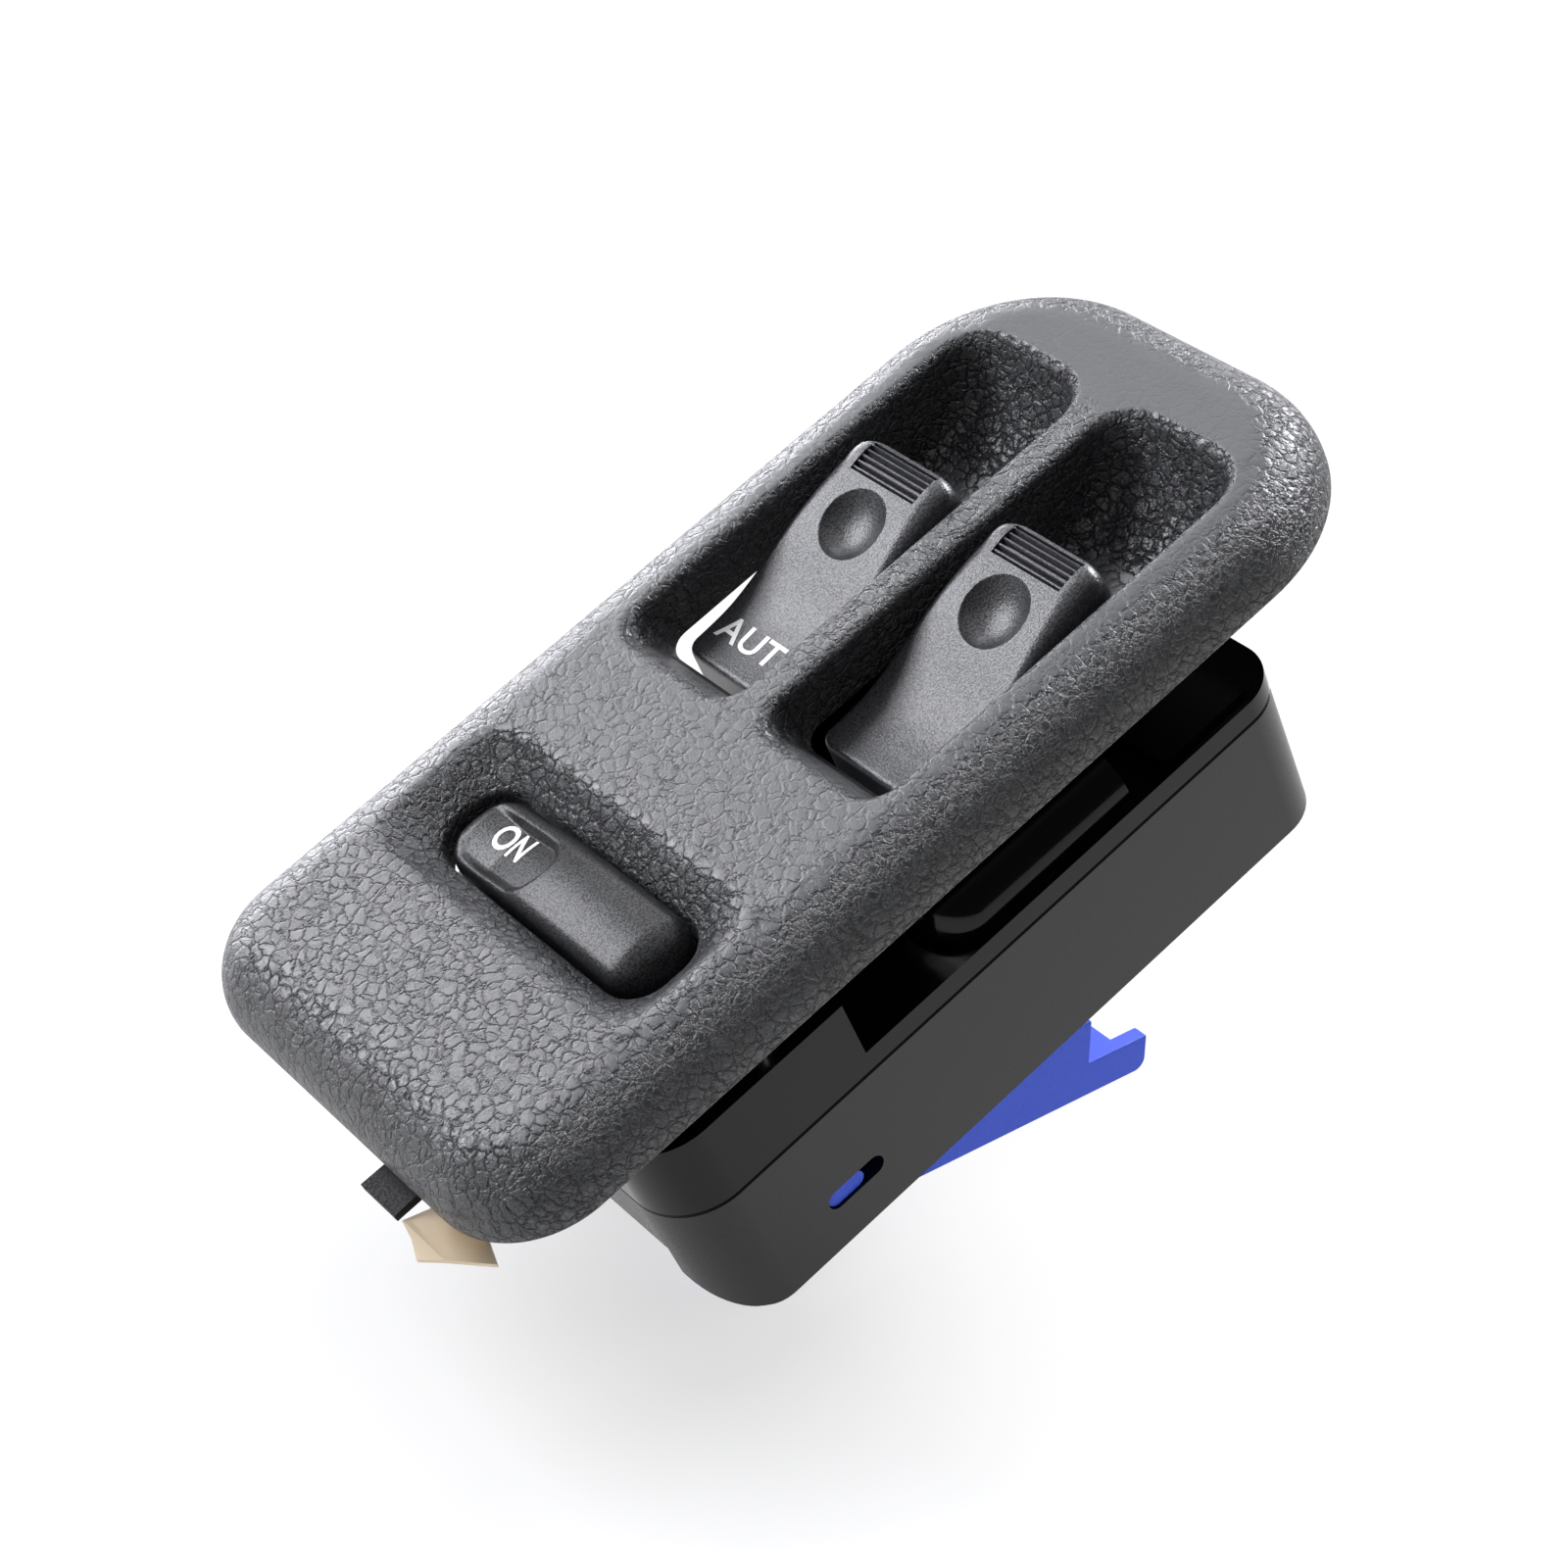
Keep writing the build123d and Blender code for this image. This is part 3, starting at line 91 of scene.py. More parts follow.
DIVIDER_LEAN = 0.5
LIP = 1.3
KEY_NEAR = auto_low[0] - 0.7
KEY_TIP = auto_high[0]
KEY_HALF = (auto_high[1] - auto_low[1]) / 2
KEY_SKIRT = -6.5
KEY_NOSE = 2.3
RIDGE_X = 33.4
RIDGE_HEIGHT = 9.75
DISH_X = 25.4
DISH_RADIUS = 5.2
DISH_DEPTH = 2.2
RIB_START = 31.4
RIB_PITCH = 0.95
RIB_HALF = 6.35
LOCK_X = (rocker_low[0] + rocker_high[0]) / 2
LOCK_HALF_WIDTH = (rocker_high[0] - rocker_low[0]) / 2
LOCK_HALF_LENGTH = (rocker_high[1] - rocker_low[1]) / 2
LOCK_SKIRT = -1.5
THUMB_REACH = 3.9
RECESS_HALF = (11.5, 27.5)
RECESS_CORNER = 6.0
OPENING_HALF = (6.7, 22.5)
OPENING_CORNER = 5.6


# ------------------------------------------------------------------ mesh helpers
def grid_faces(rows, columns, closed=False):
    """Quads of a grid of rows x columns points as an array; closed joins the last column to the first."""
    row = np.arange(rows - 1)[:, None]
    column = np.arange(columns if closed else columns - 1)[None, :]
    after = (column + 1) % columns
    quads = np.stack(np.broadcast_arrays(row * columns + column, row * columns + after,
                                         (row + 1) * columns + after, (row + 1) * columns + column), -1)
    return quads.reshape(-1, 4)


def join_parts(*parts):
    """One point array and one face list from several (points, faces) pairs."""
    points, faces, count = [], [], 0
    for part_points, part_faces in parts:
        flat = np.asarray(part_points, float).reshape(-1, 3)
        points.append(flat)
        faces.extend([[int(i) + count for i in face] for face in part_faces])
        count += len(flat)
    return np.concatenate(points), faces


def mesh_piece(name, points, faces, body, material, merge=0.002, angle=None):
    """Mesh object from millimetre points: merged, facing out, smooth, riding on its body."""
    mesh = bpy.data.meshes.new(name)
    mesh.from_pydata((np.asarray(points) * MM).tolist(), [], [list(face) for face in faces])
    piece = bpy.data.objects.new(name, mesh)
    bpy.context.scene.collection.objects.link(piece)
    tidy_mesh(mesh, merge)
    mesh.polygons.foreach_set("use_smooth", np.ones(len(mesh.polygons), bool))
    if angle is not None:
        mesh.set_sharp_from_angle(angle=math.radians(angle))
    mesh.materials.append(material)
    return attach(piece, body)


def join_points(work, merge):
    """Joins points of a bmesh that are closer than merge millimetres and turns its faces outwards."""
    bmesh.ops.remove_doubles(work, verts=work.verts, dist=merge * MM)
    bmesh.ops.recalc_face_normals(work, faces=work.faces)


def tidy_mesh(mesh, merge):
    """Joins a mesh's points closer than merge millimetres and turns its faces outwards."""
    work = bmesh.new()
    work.from_mesh(mesh)
    join_points(work, merge)
    work.to_mesh(mesh)
    work.free()


def rounded_loop(low, high, radii, side, corner):
    """Closed counter-clockwise loop of a rectangle with its corners' radii, from (x0, y0) round to (x0, y1).

    Each side has `side` points and each corner `corner` points whatever the size, so two loops always match.
    """
    (x0, y0), (x1, y1) = low, high
    corners = [(x1, y0, 1, -1, -90), (x1, y1, 1, 1, 0), (x0, y1, -1, 1, 90), (x0, y0, -1, -1, 180)]
    order = [radii[1], radii[2], radii[3], radii[0]]
    arcs = []
    for (x, y, sign_x, sign_y, turn), radius in zip(corners, order):
        angle = np.radians(turn + np.linspace(0, 90, corner))
        centre = np.array([x - sign_x * radius, y - sign_y * radius])
        arcs.append(centre + radius * np.column_stack([np.cos(angle), np.sin(angle)]))
    share = np.linspace(0, 1, side + 2)[1:-1, None]
    pieces = []
    for index in range(4):
        before = arcs[index - 1][-1]
        pieces.append(before + (arcs[index][0] - before) * share)
        pieces.append(arcs[index])
    return np.concatenate(pieces)


def with_height(loop, height):
    """Loop of (x, y) with a z column."""
    return np.column_stack([loop, np.broadcast_to(height, len(loop))])


# ------------------------------------------------------------------ bezel
def depth_inside_bezel(x, y):
    """Distance from points inside the bezel's outline to it, each end with its own corner radius."""
    radius = np.where(x < 0, NEAR_CORNER, FAR_CORNER)
    run_x = np.abs(x) - (BEZEL_HALF_LENGTH - radius)
    run_y = np.abs(y) - (BEZEL_HALF_WIDTH - radius)
    in_corner = radius - np.hypot(np.maximum(run_x, 0), np.maximum(run_y, 0))
    straight = radius - np.maximum(run_x, run_y)
    return np.where((run_x > 0) & (run_y > 0), in_corner, straight)


def bezel_height(x, y):
    """Top surface: flat, with a quarter round of radius BEZEL_EDGE down to the rim."""
    short = np.clip(BEZEL_EDGE - depth_inside_bezel(x, y), 0, BEZEL_EDGE)
    return BEZEL_TOP - BEZEL_EDGE + np.sqrt(BEZEL_EDGE ** 2 - short ** 2)


def bezel_outline(inset):
    """Loop of the bezel's outline, moved in by inset."""
    half = np.array([BEZEL_HALF_LENGTH, BEZEL_HALF_WIDTH]) - inset
    near, far = NEAR_CORNER - inset, FAR_CORNER - inset
    return rounded_loop(-half, half, (near, far, far, near), side=60, corner=30)


def bezel_skirt():
    """Outer rounded edge, as loops of the outline moved in by R(1-cos a) at height R sin a, on a flat rim."""
    angles = np.radians(np.linspace(0, 71.5, 22))
    insets = BEZEL_EDGE * (1 - np.cos(angles))
    rim = [(BEZEL_WALL + 0.3, 4.0), (BEZEL_WALL, 0.3), (BEZEL_WALL - 0.3, 0.0),
           (0.35, 0.0), (0.1, 0.1), (0.0, 0.35)]
    loops = [with_height(bezel_outline(inset), height) for inset, height in rim]
    loops += [with_height(bezel_outline(inset), BEZEL_TOP - BEZEL_EDGE + BEZEL_EDGE * math.sin(angle))
              for inset, angle in zip(insets, angles)]
    loops[-1][:, 2] = bezel_height(loops[-1][:, 0], loops[-1][:, 1])
    return np.array(loops), grid_faces(len(loops), len(loops[0]), closed=True)


def pocket_loop(depth, grow, side_y):
    """Outline of a finger pocket at a depth below the top, grown outwards by grow.

    The side walls lean in, the outer one more than the one beside the divider. The near wall runs in by 5
    over 8.3 of depth, the far wall follows the well's arc, and the corners tighten on the way down.
    """
    level = BEZEL_TOP - depth
    outer = POCKET_HALF - depth * math.tan(math.radians(OUTER_LEAN))
    inner = POCKET_INNER - depth * math.tan(math.radians(DIVIDER_LEAN))
    below, above = (inner, outer) if side_y > 0 else (outer, inner)
    near = POCKET_NEAR + depth * 5.0 / 8.3
    far = WELL_ARC_X + math.sqrt(max(WELL_RADIUS ** 2 - (WELL_FLOOR + WELL_RADIUS - level) ** 2, 0))
    near_radius = 4.6 - 0.12 * depth
    far_radius = min(6.4 - 0.12 * depth, outer - 0.2)
    low = np.array([near, side_y - below]) - grow
    high = np.array([far, side_y + above]) + grow
    radii = np.array([near_radius, far_radius, far_radius, near_radius]) + grow
    return rounded_loop(low, high, radii, side=40, corner=12)


def pocket_walls(side_y):
    """Quarter-round lip of a pocket, then its walls, as loops down to the open bottom of the tub."""
    turn = np.radians(np.linspace(0, 90, 9))
    loops = [with_height(pocket_loop(LIP * (1 - math.cos(a)), LIP * (1 - math.sin(a)), side_y),
                         BEZEL_TOP - LIP * (1 - math.cos(a))) for a in turn]
    loops[0][:, 2] = bezel_height(loops[0][:, 0], loops[0][:, 1])
    below = np.linspace(LIP, BEZEL_TOP - TUB_BOTTOM, 14)[1:]
    loops += [with_height(pocket_loop(depth, 0, side_y), BEZEL_TOP - depth) for depth in below]
    return np.array(loops), grid_faces(len(loops), len(loops[0]), closed=True)


def well_lower(side_y):
    """Lower part of a finger well: U-shaped rows round the far end, lower and lower along the arc.

    Each row starts and ends at the tub's open edge. The last rows close the floor towards its middle line.
    """
    row_points = 90
    drop = WELL_FLOOR + WELL_RADIUS - TUB_BOTTOM
    angles = np.linspace(math.acos(drop / WELL_RADIUS), 0, 18)
    levels = WELL_FLOOR + WELL_RADIUS * (1 - np.cos(angles))
    rows = []
    for level in levels:
        loop = pocket_loop(BEZEL_TOP - level, 0, side_y)
        far = loop[loop[:, 0] > POCKET_OPEN_TO + 2]
        first = (POCKET_OPEN_TO, far[0, 1])
        last = (POCKET_OPEN_TO, far[-1, 1])
        ring = np.concatenate([[first], far, [last]])
        length = np.concatenate([[0], np.cumsum(np.hypot(*np.diff(ring, axis=0).T))])
        even = np.linspace(0, length[-1], row_points)
        row = np.column_stack([np.interp(even, length, ring[:, i]) for i in (0, 1)])
        rows.append(with_height(row, level))
    lowest = rows[-1]
    middle = lowest.copy()
    middle[:, 1] = side_y
    rows += [lowest * (1 - share) + middle * share for share in np.linspace(0, 1, 30)[1:]]
    return np.array(rows), grid_faces(len(rows), row_points)


def recess_walls():
    """Recess of the lock rocker: soft upper lip, sloping bevel, soft lower lip, wall of the opening."""
    top = np.array(RECESS_HALF)
    low = np.array(OPENING_HALF)
    centre = np.array([LOCK_X, 0.0])
    # share of the way from the recess's outline to the opening's, how far that is moved in, depth
    stops = [(0.0, -1.6, 0.0), (0.02, -1.0, 0.02), (0.05, -0.55, 0.08), (0.1, -0.2, 0.26),
             (0.17, -0.03, 0.58), (0.35, 0.0, 1.3), (0.55, 0.0, 2.1), (0.75, 0.0, 2.9),
             (0.88, 0.0, 3.42), (0.95, 0.0, 3.75), (0.985, 0.0, 4.1), (1.0, 0.0, 4.5)]
    loops = []
    for share, inset, depth in stops:
        half = top + (low - top) * share - inset
        radius = RECESS_CORNER + (OPENING_CORNER - RECESS_CORNER) * share - inset
        loop = rounded_loop(centre - half, centre + half, [radius] * 4, side=30, corner=12)
        loops.append(with_height(loop, BEZEL_TOP - depth))
    loops[0][:, 2] = bezel_height(loops[0][:, 0], loops[0][:, 1])
    loops.append(with_height(loops[-1][:, :2], TUB_BOTTOM))
    return np.array(loops), grid_faces(len(loops), len(loops[0]), closed=True)


def top_plate(outer, holes):
    """Top between the outer loop and the holes: a constrained Delaunay net over a wavy grid."""
    spacing = 1.1
    skirt_inset = 6.0
    x, y = np.meshgrid(np.arange(-BEZEL_HALF_LENGTH, BEZEL_HALF_LENGTH, spacing),
                       np.arange(-BEZEL_HALF_WIDTH, BEZEL_HALF_WIDTH, spacing))
    x = x.ravel() + 0.31 * np.sin(17.0 * y.ravel())
    y = y.ravel()
    keep = depth_inside_bezel(x, y) > skirt_inset + 0.5 * spacing
    for hole in holes:
        low, high = hole.min(0) - 0.4 * spacing, hole.max(0) + 0.4 * spacing
        keep &= ~((x > low[0]) & (x < high[0]) & (y > low[1]) & (y < high[1]))
    loops = [outer] + holes
    points = np.concatenate(loops + [np.column_stack([x[keep], y[keep]])])
    edges, start = [], 0
    for loop in loops:
        index = np.arange(len(loop)) + start
        edges += list(zip(index.tolist(), np.roll(index, -1).tolist()))
        start += len(loop)
    verts, _, faces, _, _, _ = delaunay_2d_cdt([Vector(p) for p in points.tolist()], edges, [], 0, 1e-5)
    verts = np.array(verts)
    faces = np.array([face for face in faces if len(face) == 3])
    middle = verts[faces].mean(1)
    inside = depth_inside_bezel(middle[:, 0], middle[:, 1]) > depth_inside_bezel(*outer.T).min()
    for hole in holes:
        inside &= ~points_in_loop(middle, hole)
    surface = np.column_stack([verts, bezel_height(verts[:, 0], verts[:, 1])])
    return surface, faces[inside]


def points_in_loop(points, loop):
    """Which points lie inside a closed loop, by counting the edges that a ray along +X crosses."""
    ahead = np.roll(loop, -1, axis=0)
    x, y = points[:, 0:1], points[:, 1:2]
    spans = (loop[:, 1] > y) != (ahead[:, 1] > y)
    run = (ahead[:, 0] - loop[:, 0]) / np.where(ahead[:, 1] == loop[:, 1], 1e-9, ahead[:, 1] - loop[:, 1])
    crossing = loop[:, 0] + run * (y - loop[:, 1]) > x
    return (spans & crossing).sum(1) % 2 == 1


def make_bezel(material):
    """Bezel skin: skirt, top plate, two pockets with their wells, and the lock recess."""
    skirt, skirt_faces = bezel_skirt()
    parts = [(skirt, skirt_faces)]
    holes = []
    for side_y in (POCKET_Y, -POCKET_Y):
        walls, wall_faces = pocket_walls(side_y)
        parts.append((walls, wall_faces))
        parts.append(well_lower(side_y))
        holes.append(walls[0][:, :2])
    recess, recess_faces = recess_walls()
    parts.append((recess, recess_faces))
    holes.append(recess[0][:, :2])
    parts.append(top_plate(skirt[-1][:, :2], holes))
    points, faces = join_parts(*parts)
    piece = mesh_piece("bezel_skin", points, faces, "housing", material)
    store_grain_depth(piece.data)
    work = bmesh.new()
    work.from_mesh(piece.data)
    store_corner_normals(work, 40)
    work.to_mesh(piece.data)
    work.free()
    use_corner_normals(piece.data)
    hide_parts("bezel")


def store_grain_depth(mesh):
    """Keeps on each vertex how deeply the leather pattern is etched there, from 0.16 to 1.5.

    Deepest on the edges, the slopes and the divider between the pockets, less on the near end's top, faint on
    the flat middle and nearly none on the far top.
    """
    count = len(mesh.vertices)
    place, normal = np.zeros(count * 3), np.zeros(count * 3)
    mesh.vertices.foreach_get("co", place)
    mesh.vertices.foreach_get("normal", normal)
    x, y, _ = place.reshape(-1, 3).T / MM
    upright = np.abs(normal.reshape(-1, 3)[:, 2])
    level = np.clip((upright - 0.93) / 0.06, 0, 1)
    on_top = np.interp(x, [-52, -28, -5, 30, 66], [0.8, 0.66, 0.52, 0.34, 0.16])
    divider = 1.1 * np.clip((7 - np.abs(y)) / 3, 0, 1) * np.interp(x, [-2, 6, 52, 60], [0, 1, 1, 0])
    on_top = np.maximum(on_top, divider)
    on_slope = np.interp(x, [-40, 0, 45, 70], [1.2, 1.5, 1.4, 1.2])
    # the same value sets how strongly the leather paints shade into its creases
    layer = mesh.attributes.new("grain_depth", "FLOAT", "POINT")
    layer.data.foreach_set("value", (on_top * level + on_slope * (1 - level)).astype(np.float32))


def merged_copy(node_name, piece_name):
    """Copy of a CAD node's mesh with its triangles joined: a bmesh, and the mesh it goes back to."""
    mesh = nodes[node_name].data.copy()
    mesh.name = piece_name
    work = bmesh.new()
    work.from_mesh(mesh)
    join_points(work, 0.001)
    return work, mesh


def store_corner_normals(work, angle):
    """Keeps on each corner the mean direction, by area, of the faces that meet there within an angle.

    Large flat walls outweigh the narrow strips beside them, so they stay flat to the eye.
    """
    work.normal_update()
    limit = math.cos(math.radians(angle))
    store = work.loops.layers.float_vector.new("corner_normal")
    areas = {face: face.calc_area() for face in work.faces}
    for face in work.faces:
        for loop in face.loops:
            near = [other for other in loop.vert.link_faces if face.normal.dot(other.normal) > limit]
            total = sum((other.normal * areas[other] for other in near), Vector((0, 0, 0)))
            loop[store] = total.normalized() if total.length > 0 else face.normal


def use_corner_normals(mesh):
    """Shades a mesh by the normals that store_corner_normals kept on it."""
    normals = np.zeros(len(mesh.loops) * 3, np.float32)
    mesh.attributes["corner_normal"].data.foreach_get("vector", normals)
    mesh.attributes.remove(mesh.attributes["corner_normal"])
    mesh.polygons.foreach_set("use_smooth", np.ones(len(mesh.polygons), bool))
    mesh.normals_split_custom_set(normals.reshape(-1, 3))


def place_copy(work, mesh, name, node_name, body, material):
    """Puts a worked copy of a CAD node in the scene on its body, in place of the node."""
    store_corner_normals(work, 35)
    bmesh.ops.triangulate(work, faces=work.faces)
    work.to_mesh(mesh)
    work.free()
    use_corner_normals(mesh)
    mesh.materials.clear()
    mesh.materials.append(material)
    piece = bpy.data.objects.new(name, mesh)
    bpy.context.scene.collection.objects.link(piece)
    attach(piece, body)
    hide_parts(node_name)


def make_bezel_inside(material):
    """Ribs, tubs, bosses and hook of the bezel: the CAD solid, every face moved into the wall."""
    inset = 0.22 * MM
    work, mesh = merged_copy("bezel", "bezel_inside")
    work.normal_update()
    shift = [vert.normal * (inset * min(vert.calc_shell_factor(), 2.0)) for vert in work.verts]
    for vert, step in zip(work.verts, shift):
        vert.co -= step
    place_copy(work, mesh, "bezel_inside", "bezel", "housing", material)


def soften(node_name, body, material, width):
    """CAD piece with each edge over 30 degrees rounded by width millimetres, so that it catches light."""
    name = node_name + "_moulded"
    work, mesh = merged_copy(node_name, name)
    bmesh.ops.dissolve_limit(work, angle_limit=math.radians(0.8), verts=work.verts, edges=work.edges)
    sharp = [edge for edge in work.edges
             if len(edge.link_faces) == 2 and edge.calc_face_angle(0.0) > math.radians(30)]
    bmesh.ops.bevel(work, geom=sharp, offset=width * MM, segments=2, profile=0.5, clamp_overlap=True,
                    affect="EDGES", loop_slide=True)
    place_copy(work, mesh, name, node_name, body, material)


# ------------------------------------------------------------------ shapes of keys and rocker
def smooth_curve(stations, heights, x):
    """Cubic Hermite curve through the stations with slopes from their neighbours."""
    slopes = np.gradient(heights, stations)
    index = np.clip(np.searchsorted(stations, x) - 1, 0, len(stations) - 2)
    run = stations[index + 1] - stations[index]
    share = (x - stations[index]) / run
    return (heights[index] * (1 + 2 * share) * (1 - share) ** 2
            + slopes[index] * run * share * (1 - share) ** 2
            + heights[index + 1] * share * share * (3 - 2 * share)
            - slopes[index + 1] * run * share * share * (1 - share))


def quarter_round(past, radius, most=0.9999):
    """Drop of a quarter round, r - sqrt(r2 - d2), where d is how far a point is past the round's start."""
    run = np.clip(past / radius, 0, most)
    return radius * (1 - np.sqrt(1 - run ** 2))


def end_rounding(x, near, far, near_radius, far_radius):
    """How far a side draws in near two rounded ends, by a quarter round at each."""
    return (quarter_round(near + near_radius - x, near_radius)
            + quarter_round(x - far + far_radius, far_radius))


def uneven_stations(near, far, fine, count):
    """Stations from near to far, closer together over the last `fine` millimetres at each end."""
    turn = np.linspace(0, np.pi / 2, 26)[:-1]
    start = near + fine * (1 - np.cos(turn))
    return np.concatenate([start, np.linspace(near + fine, far - fine, count), (near + far - start)[::-1]])


def cross_sections(half, top, shoulder, skirt, turns, columns, crown=np.zeros_like):
    """Cross-sections of a cap, one for each row, as places across it and heights.

    Each goes up one side at `half`, round a shoulder as across = half - r(1-cos a) and
    height = top - r(1-sin a), over the top and down the other side. The top falls by crown(across).
    """
    turn = np.radians(np.linspace(0, 90, turns))[None, :]
    rim = half - shoulder * (1 - np.cos(turn))
    rim_height = top - shoulder * (1 - np.sin(turn)) - crown(half - shoulder)
    flat = (half - shoulder) * np.linspace(-1, 1, columns)[None, 1:-1]
    across = np.concatenate([-half, -rim, flat, rim[:, ::-1], half], 1)
    height = np.concatenate([skirt, rim_height, top - crown(flat), rim_height[:, ::-1], skirt], 1)
    return across, height


def capped_body(x, y, z):
    """Points and faces of a body from its rows of closed cross-sections, with a face over both ends."""
    rows, columns = x.shape
    first = list(range(columns))
    last = [(rows - 1) * columns + i for i in first]
    points = np.stack([x, y, z], -1).reshape(-1, 3)
    return points, grid_faces(rows, columns, closed=True).tolist() + [first, last]


# ------------------------------------------------------------------ window keys
def key_profile(x):
    """Height of a key's top along x: a concave ramp up to a rounded ridge that rolls over at the tip."""
    stations = np.array([KEY_NEAR, 5.0, 9.0, 13.0, 16.0, 19.0, 22.0, 25.4, 28.4, 31.2, RIDGE_X])
    heights = np.array([0.7, 0.85, 1.3, 2.4, 3.6, 4.95, 6.25, 7.55, 8.5, 9.25, RIDGE_HEIGHT])
    ramp = smooth_curve(stations, heights, np.minimum(x, RIDGE_X))
    rise = np.clip((x - RIDGE_X) / 1.2, 0, 1)
    crest = RIDGE_HEIGHT + 0.15 * rise * (2 - rise)
    return np.where(x > RIDGE_X, crest, ramp) - quarter_round(x - (KEY_TIP - KEY_NOSE), KEY_NOSE, 0.995)


def key_underside(x):
    """Lower edge of a key: level skirt, then a slope up to the lip under the tip."""
    return np.interp(x, [KEY_NEAR, 17.0, 26.0, 36.0, KEY_TIP], [KEY_SKIRT, KEY_SKIRT, 0.5, 4.0, 5.0])


def dish_depth(x, y):
    """Thumb dish: a bowl that starts steeply at a crisp round edge and flattens to its middle."""
    distance = np.hypot((x - DISH_X) / math.cos(math.radians(20)), y)
    return DISH_DEPTH * (1 - (np.minimum(distance, DISH_RADIUS) / DISH_RADIUS) ** 2.4)


def rib_depth(x, y):
    """Grip ribs across the ridge: five grooves, each 0.9 deep, that end in a crisp step at both sides."""
    along = (x - RIB_START) / RIB_PITCH
    wave = 0.75 * (0.5 + 0.5 * np.cos(2 * np.pi * along)) ** 1.4
    inside = (x > RIB_START) & (x < RIB_START + 5 * RIB_PITCH) & (np.abs(y) < RIB_HALF)
    return np.where(inside, wave + 0.15, 0.0)


def key_surface(side_y):
    """Window key: cross-sections along x, each with a flat top, rounded shoulders and upright sides.

    The shoulder radius grows from 0.6 at the base to 3.1 at the ridge. A round dish and a band of ribs are
    pressed into the top.
    """
    x = uneven_stations(KEY_NEAR, KEY_TIP, 3.4, 280)[:, None]
    half = KEY_HALF - end_rounding(x, KEY_NEAR, KEY_TIP, 2.4, 3.0)
    base_edge = 0.9
    top = key_profile(x) - quarter_round(KEY_NEAR + base_edge - x, base_edge)
    shoulder = 0.6 + 2.5 * np.clip((x - 12) / 20, 0, 1) ** 1.3
    y, z = cross_sections(half, top, shoulder, key_underside(x), 10, 124)
    x = np.broadcast_to(x, y.shape)
    return capped_body(x, y + side_y, z - dish_depth(x, y) - rib_depth(x, y))


def make_key(name, side_y, body, node_name, material):
    """One window key in place of its CAD solid's outer shape."""
    points, faces = key_surface(side_y)
    piece = mesh_piece(name, points, faces, body, material, angle=38)
    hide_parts(node_name)


# ------------------------------------------------------------------ lock rocker
def rocker_profile(y):
    """Height of the rocker's ridge along y: level towards -Y, falling from the middle to the ON end."""
    stations = np.array([-LOCK_HALF_LENGTH, -16.0, -9.0, -2.0, 3.0, 8.0, 13.0, 18.0, LOCK_HALF_LENGTH])
    heights = np.array([8.1, 8.2, 8.25, 8.15, 7.8, 7.2, 6.5, 5.9, 5.6])
    return smooth_curve(stations, heights, y)


def rocker_crown(x):
    """Fall of the rocker's top to both sides of its middle line: 0.8 mm at 5 mm out."""
    return 0.032 * x ** 2


def thumb_depth(x, y):
    """Thumb groove of the ON end, about 1 to 1.4 deep: round at its inner end, shallower towards the tip.

    It is wider towards -X, so it runs out over that side of the rocker.
    """
    across = np.where(x > 0, x / THUMB_REACH, x / 5.6)
    edge = np.hypot(across, np.minimum(y - 6.4, 0) / THUMB_REACH)
    wall = np.clip((1.0 - edge) / 0.3, 0, 1)
    fade = np.clip((LOCK_HALF_LENGTH - 1.0 - y) / 8.0, 0, 1)
    return (0.95 + 0.05 * np.maximum(y - 3.0, 0)) * wall * wall * (3 - 2 * wall) * fade


def rocker_top(x, y):
    """Height of the rocker's top at places of the part."""
    return rocker_profile(y) - rocker_crown(x - LOCK_X) - thumb_depth(x - LOCK_X, y)


def rocker_surface():
    """Lock rocker: cross-sections along y with a crowned top, rounded shoulders and upright sides."""
    y = uneven_stations(-LOCK_HALF_LENGTH, LOCK_HALF_LENGTH, 5.2, 170)[:, None]
    half = LOCK_HALF_WIDTH - end_rounding(y, -LOCK_HALF_LENGTH, LOCK_HALF_LENGTH, 4.9, 5.2)
    end_drop = end_rounding(y, -LOCK_HALF_LENGTH, LOCK_HALF_LENGTH, 5.2, 2.6)
    top = rocker_profile(y) - np.minimum(end_drop, 4.2)
    shoulder = np.minimum(2.3, 0.9 * half)
    x, z = cross_sections(half, top, shoulder, np.full_like(y, LOCK_SKIRT), 14, 80, rocker_crown)
    y = np.broadcast_to(y, x.shape)
    return capped_body(x + LOCK_X, y, z - thumb_depth(x, y))


def make_rocker(material):
    """Lock rocker in place of its CAD solid."""
    points, faces = rocker_surface()
    piece = mesh_piece("rocker_skin", points, faces, "lock", material, angle=38)
    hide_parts("lock_rocker")


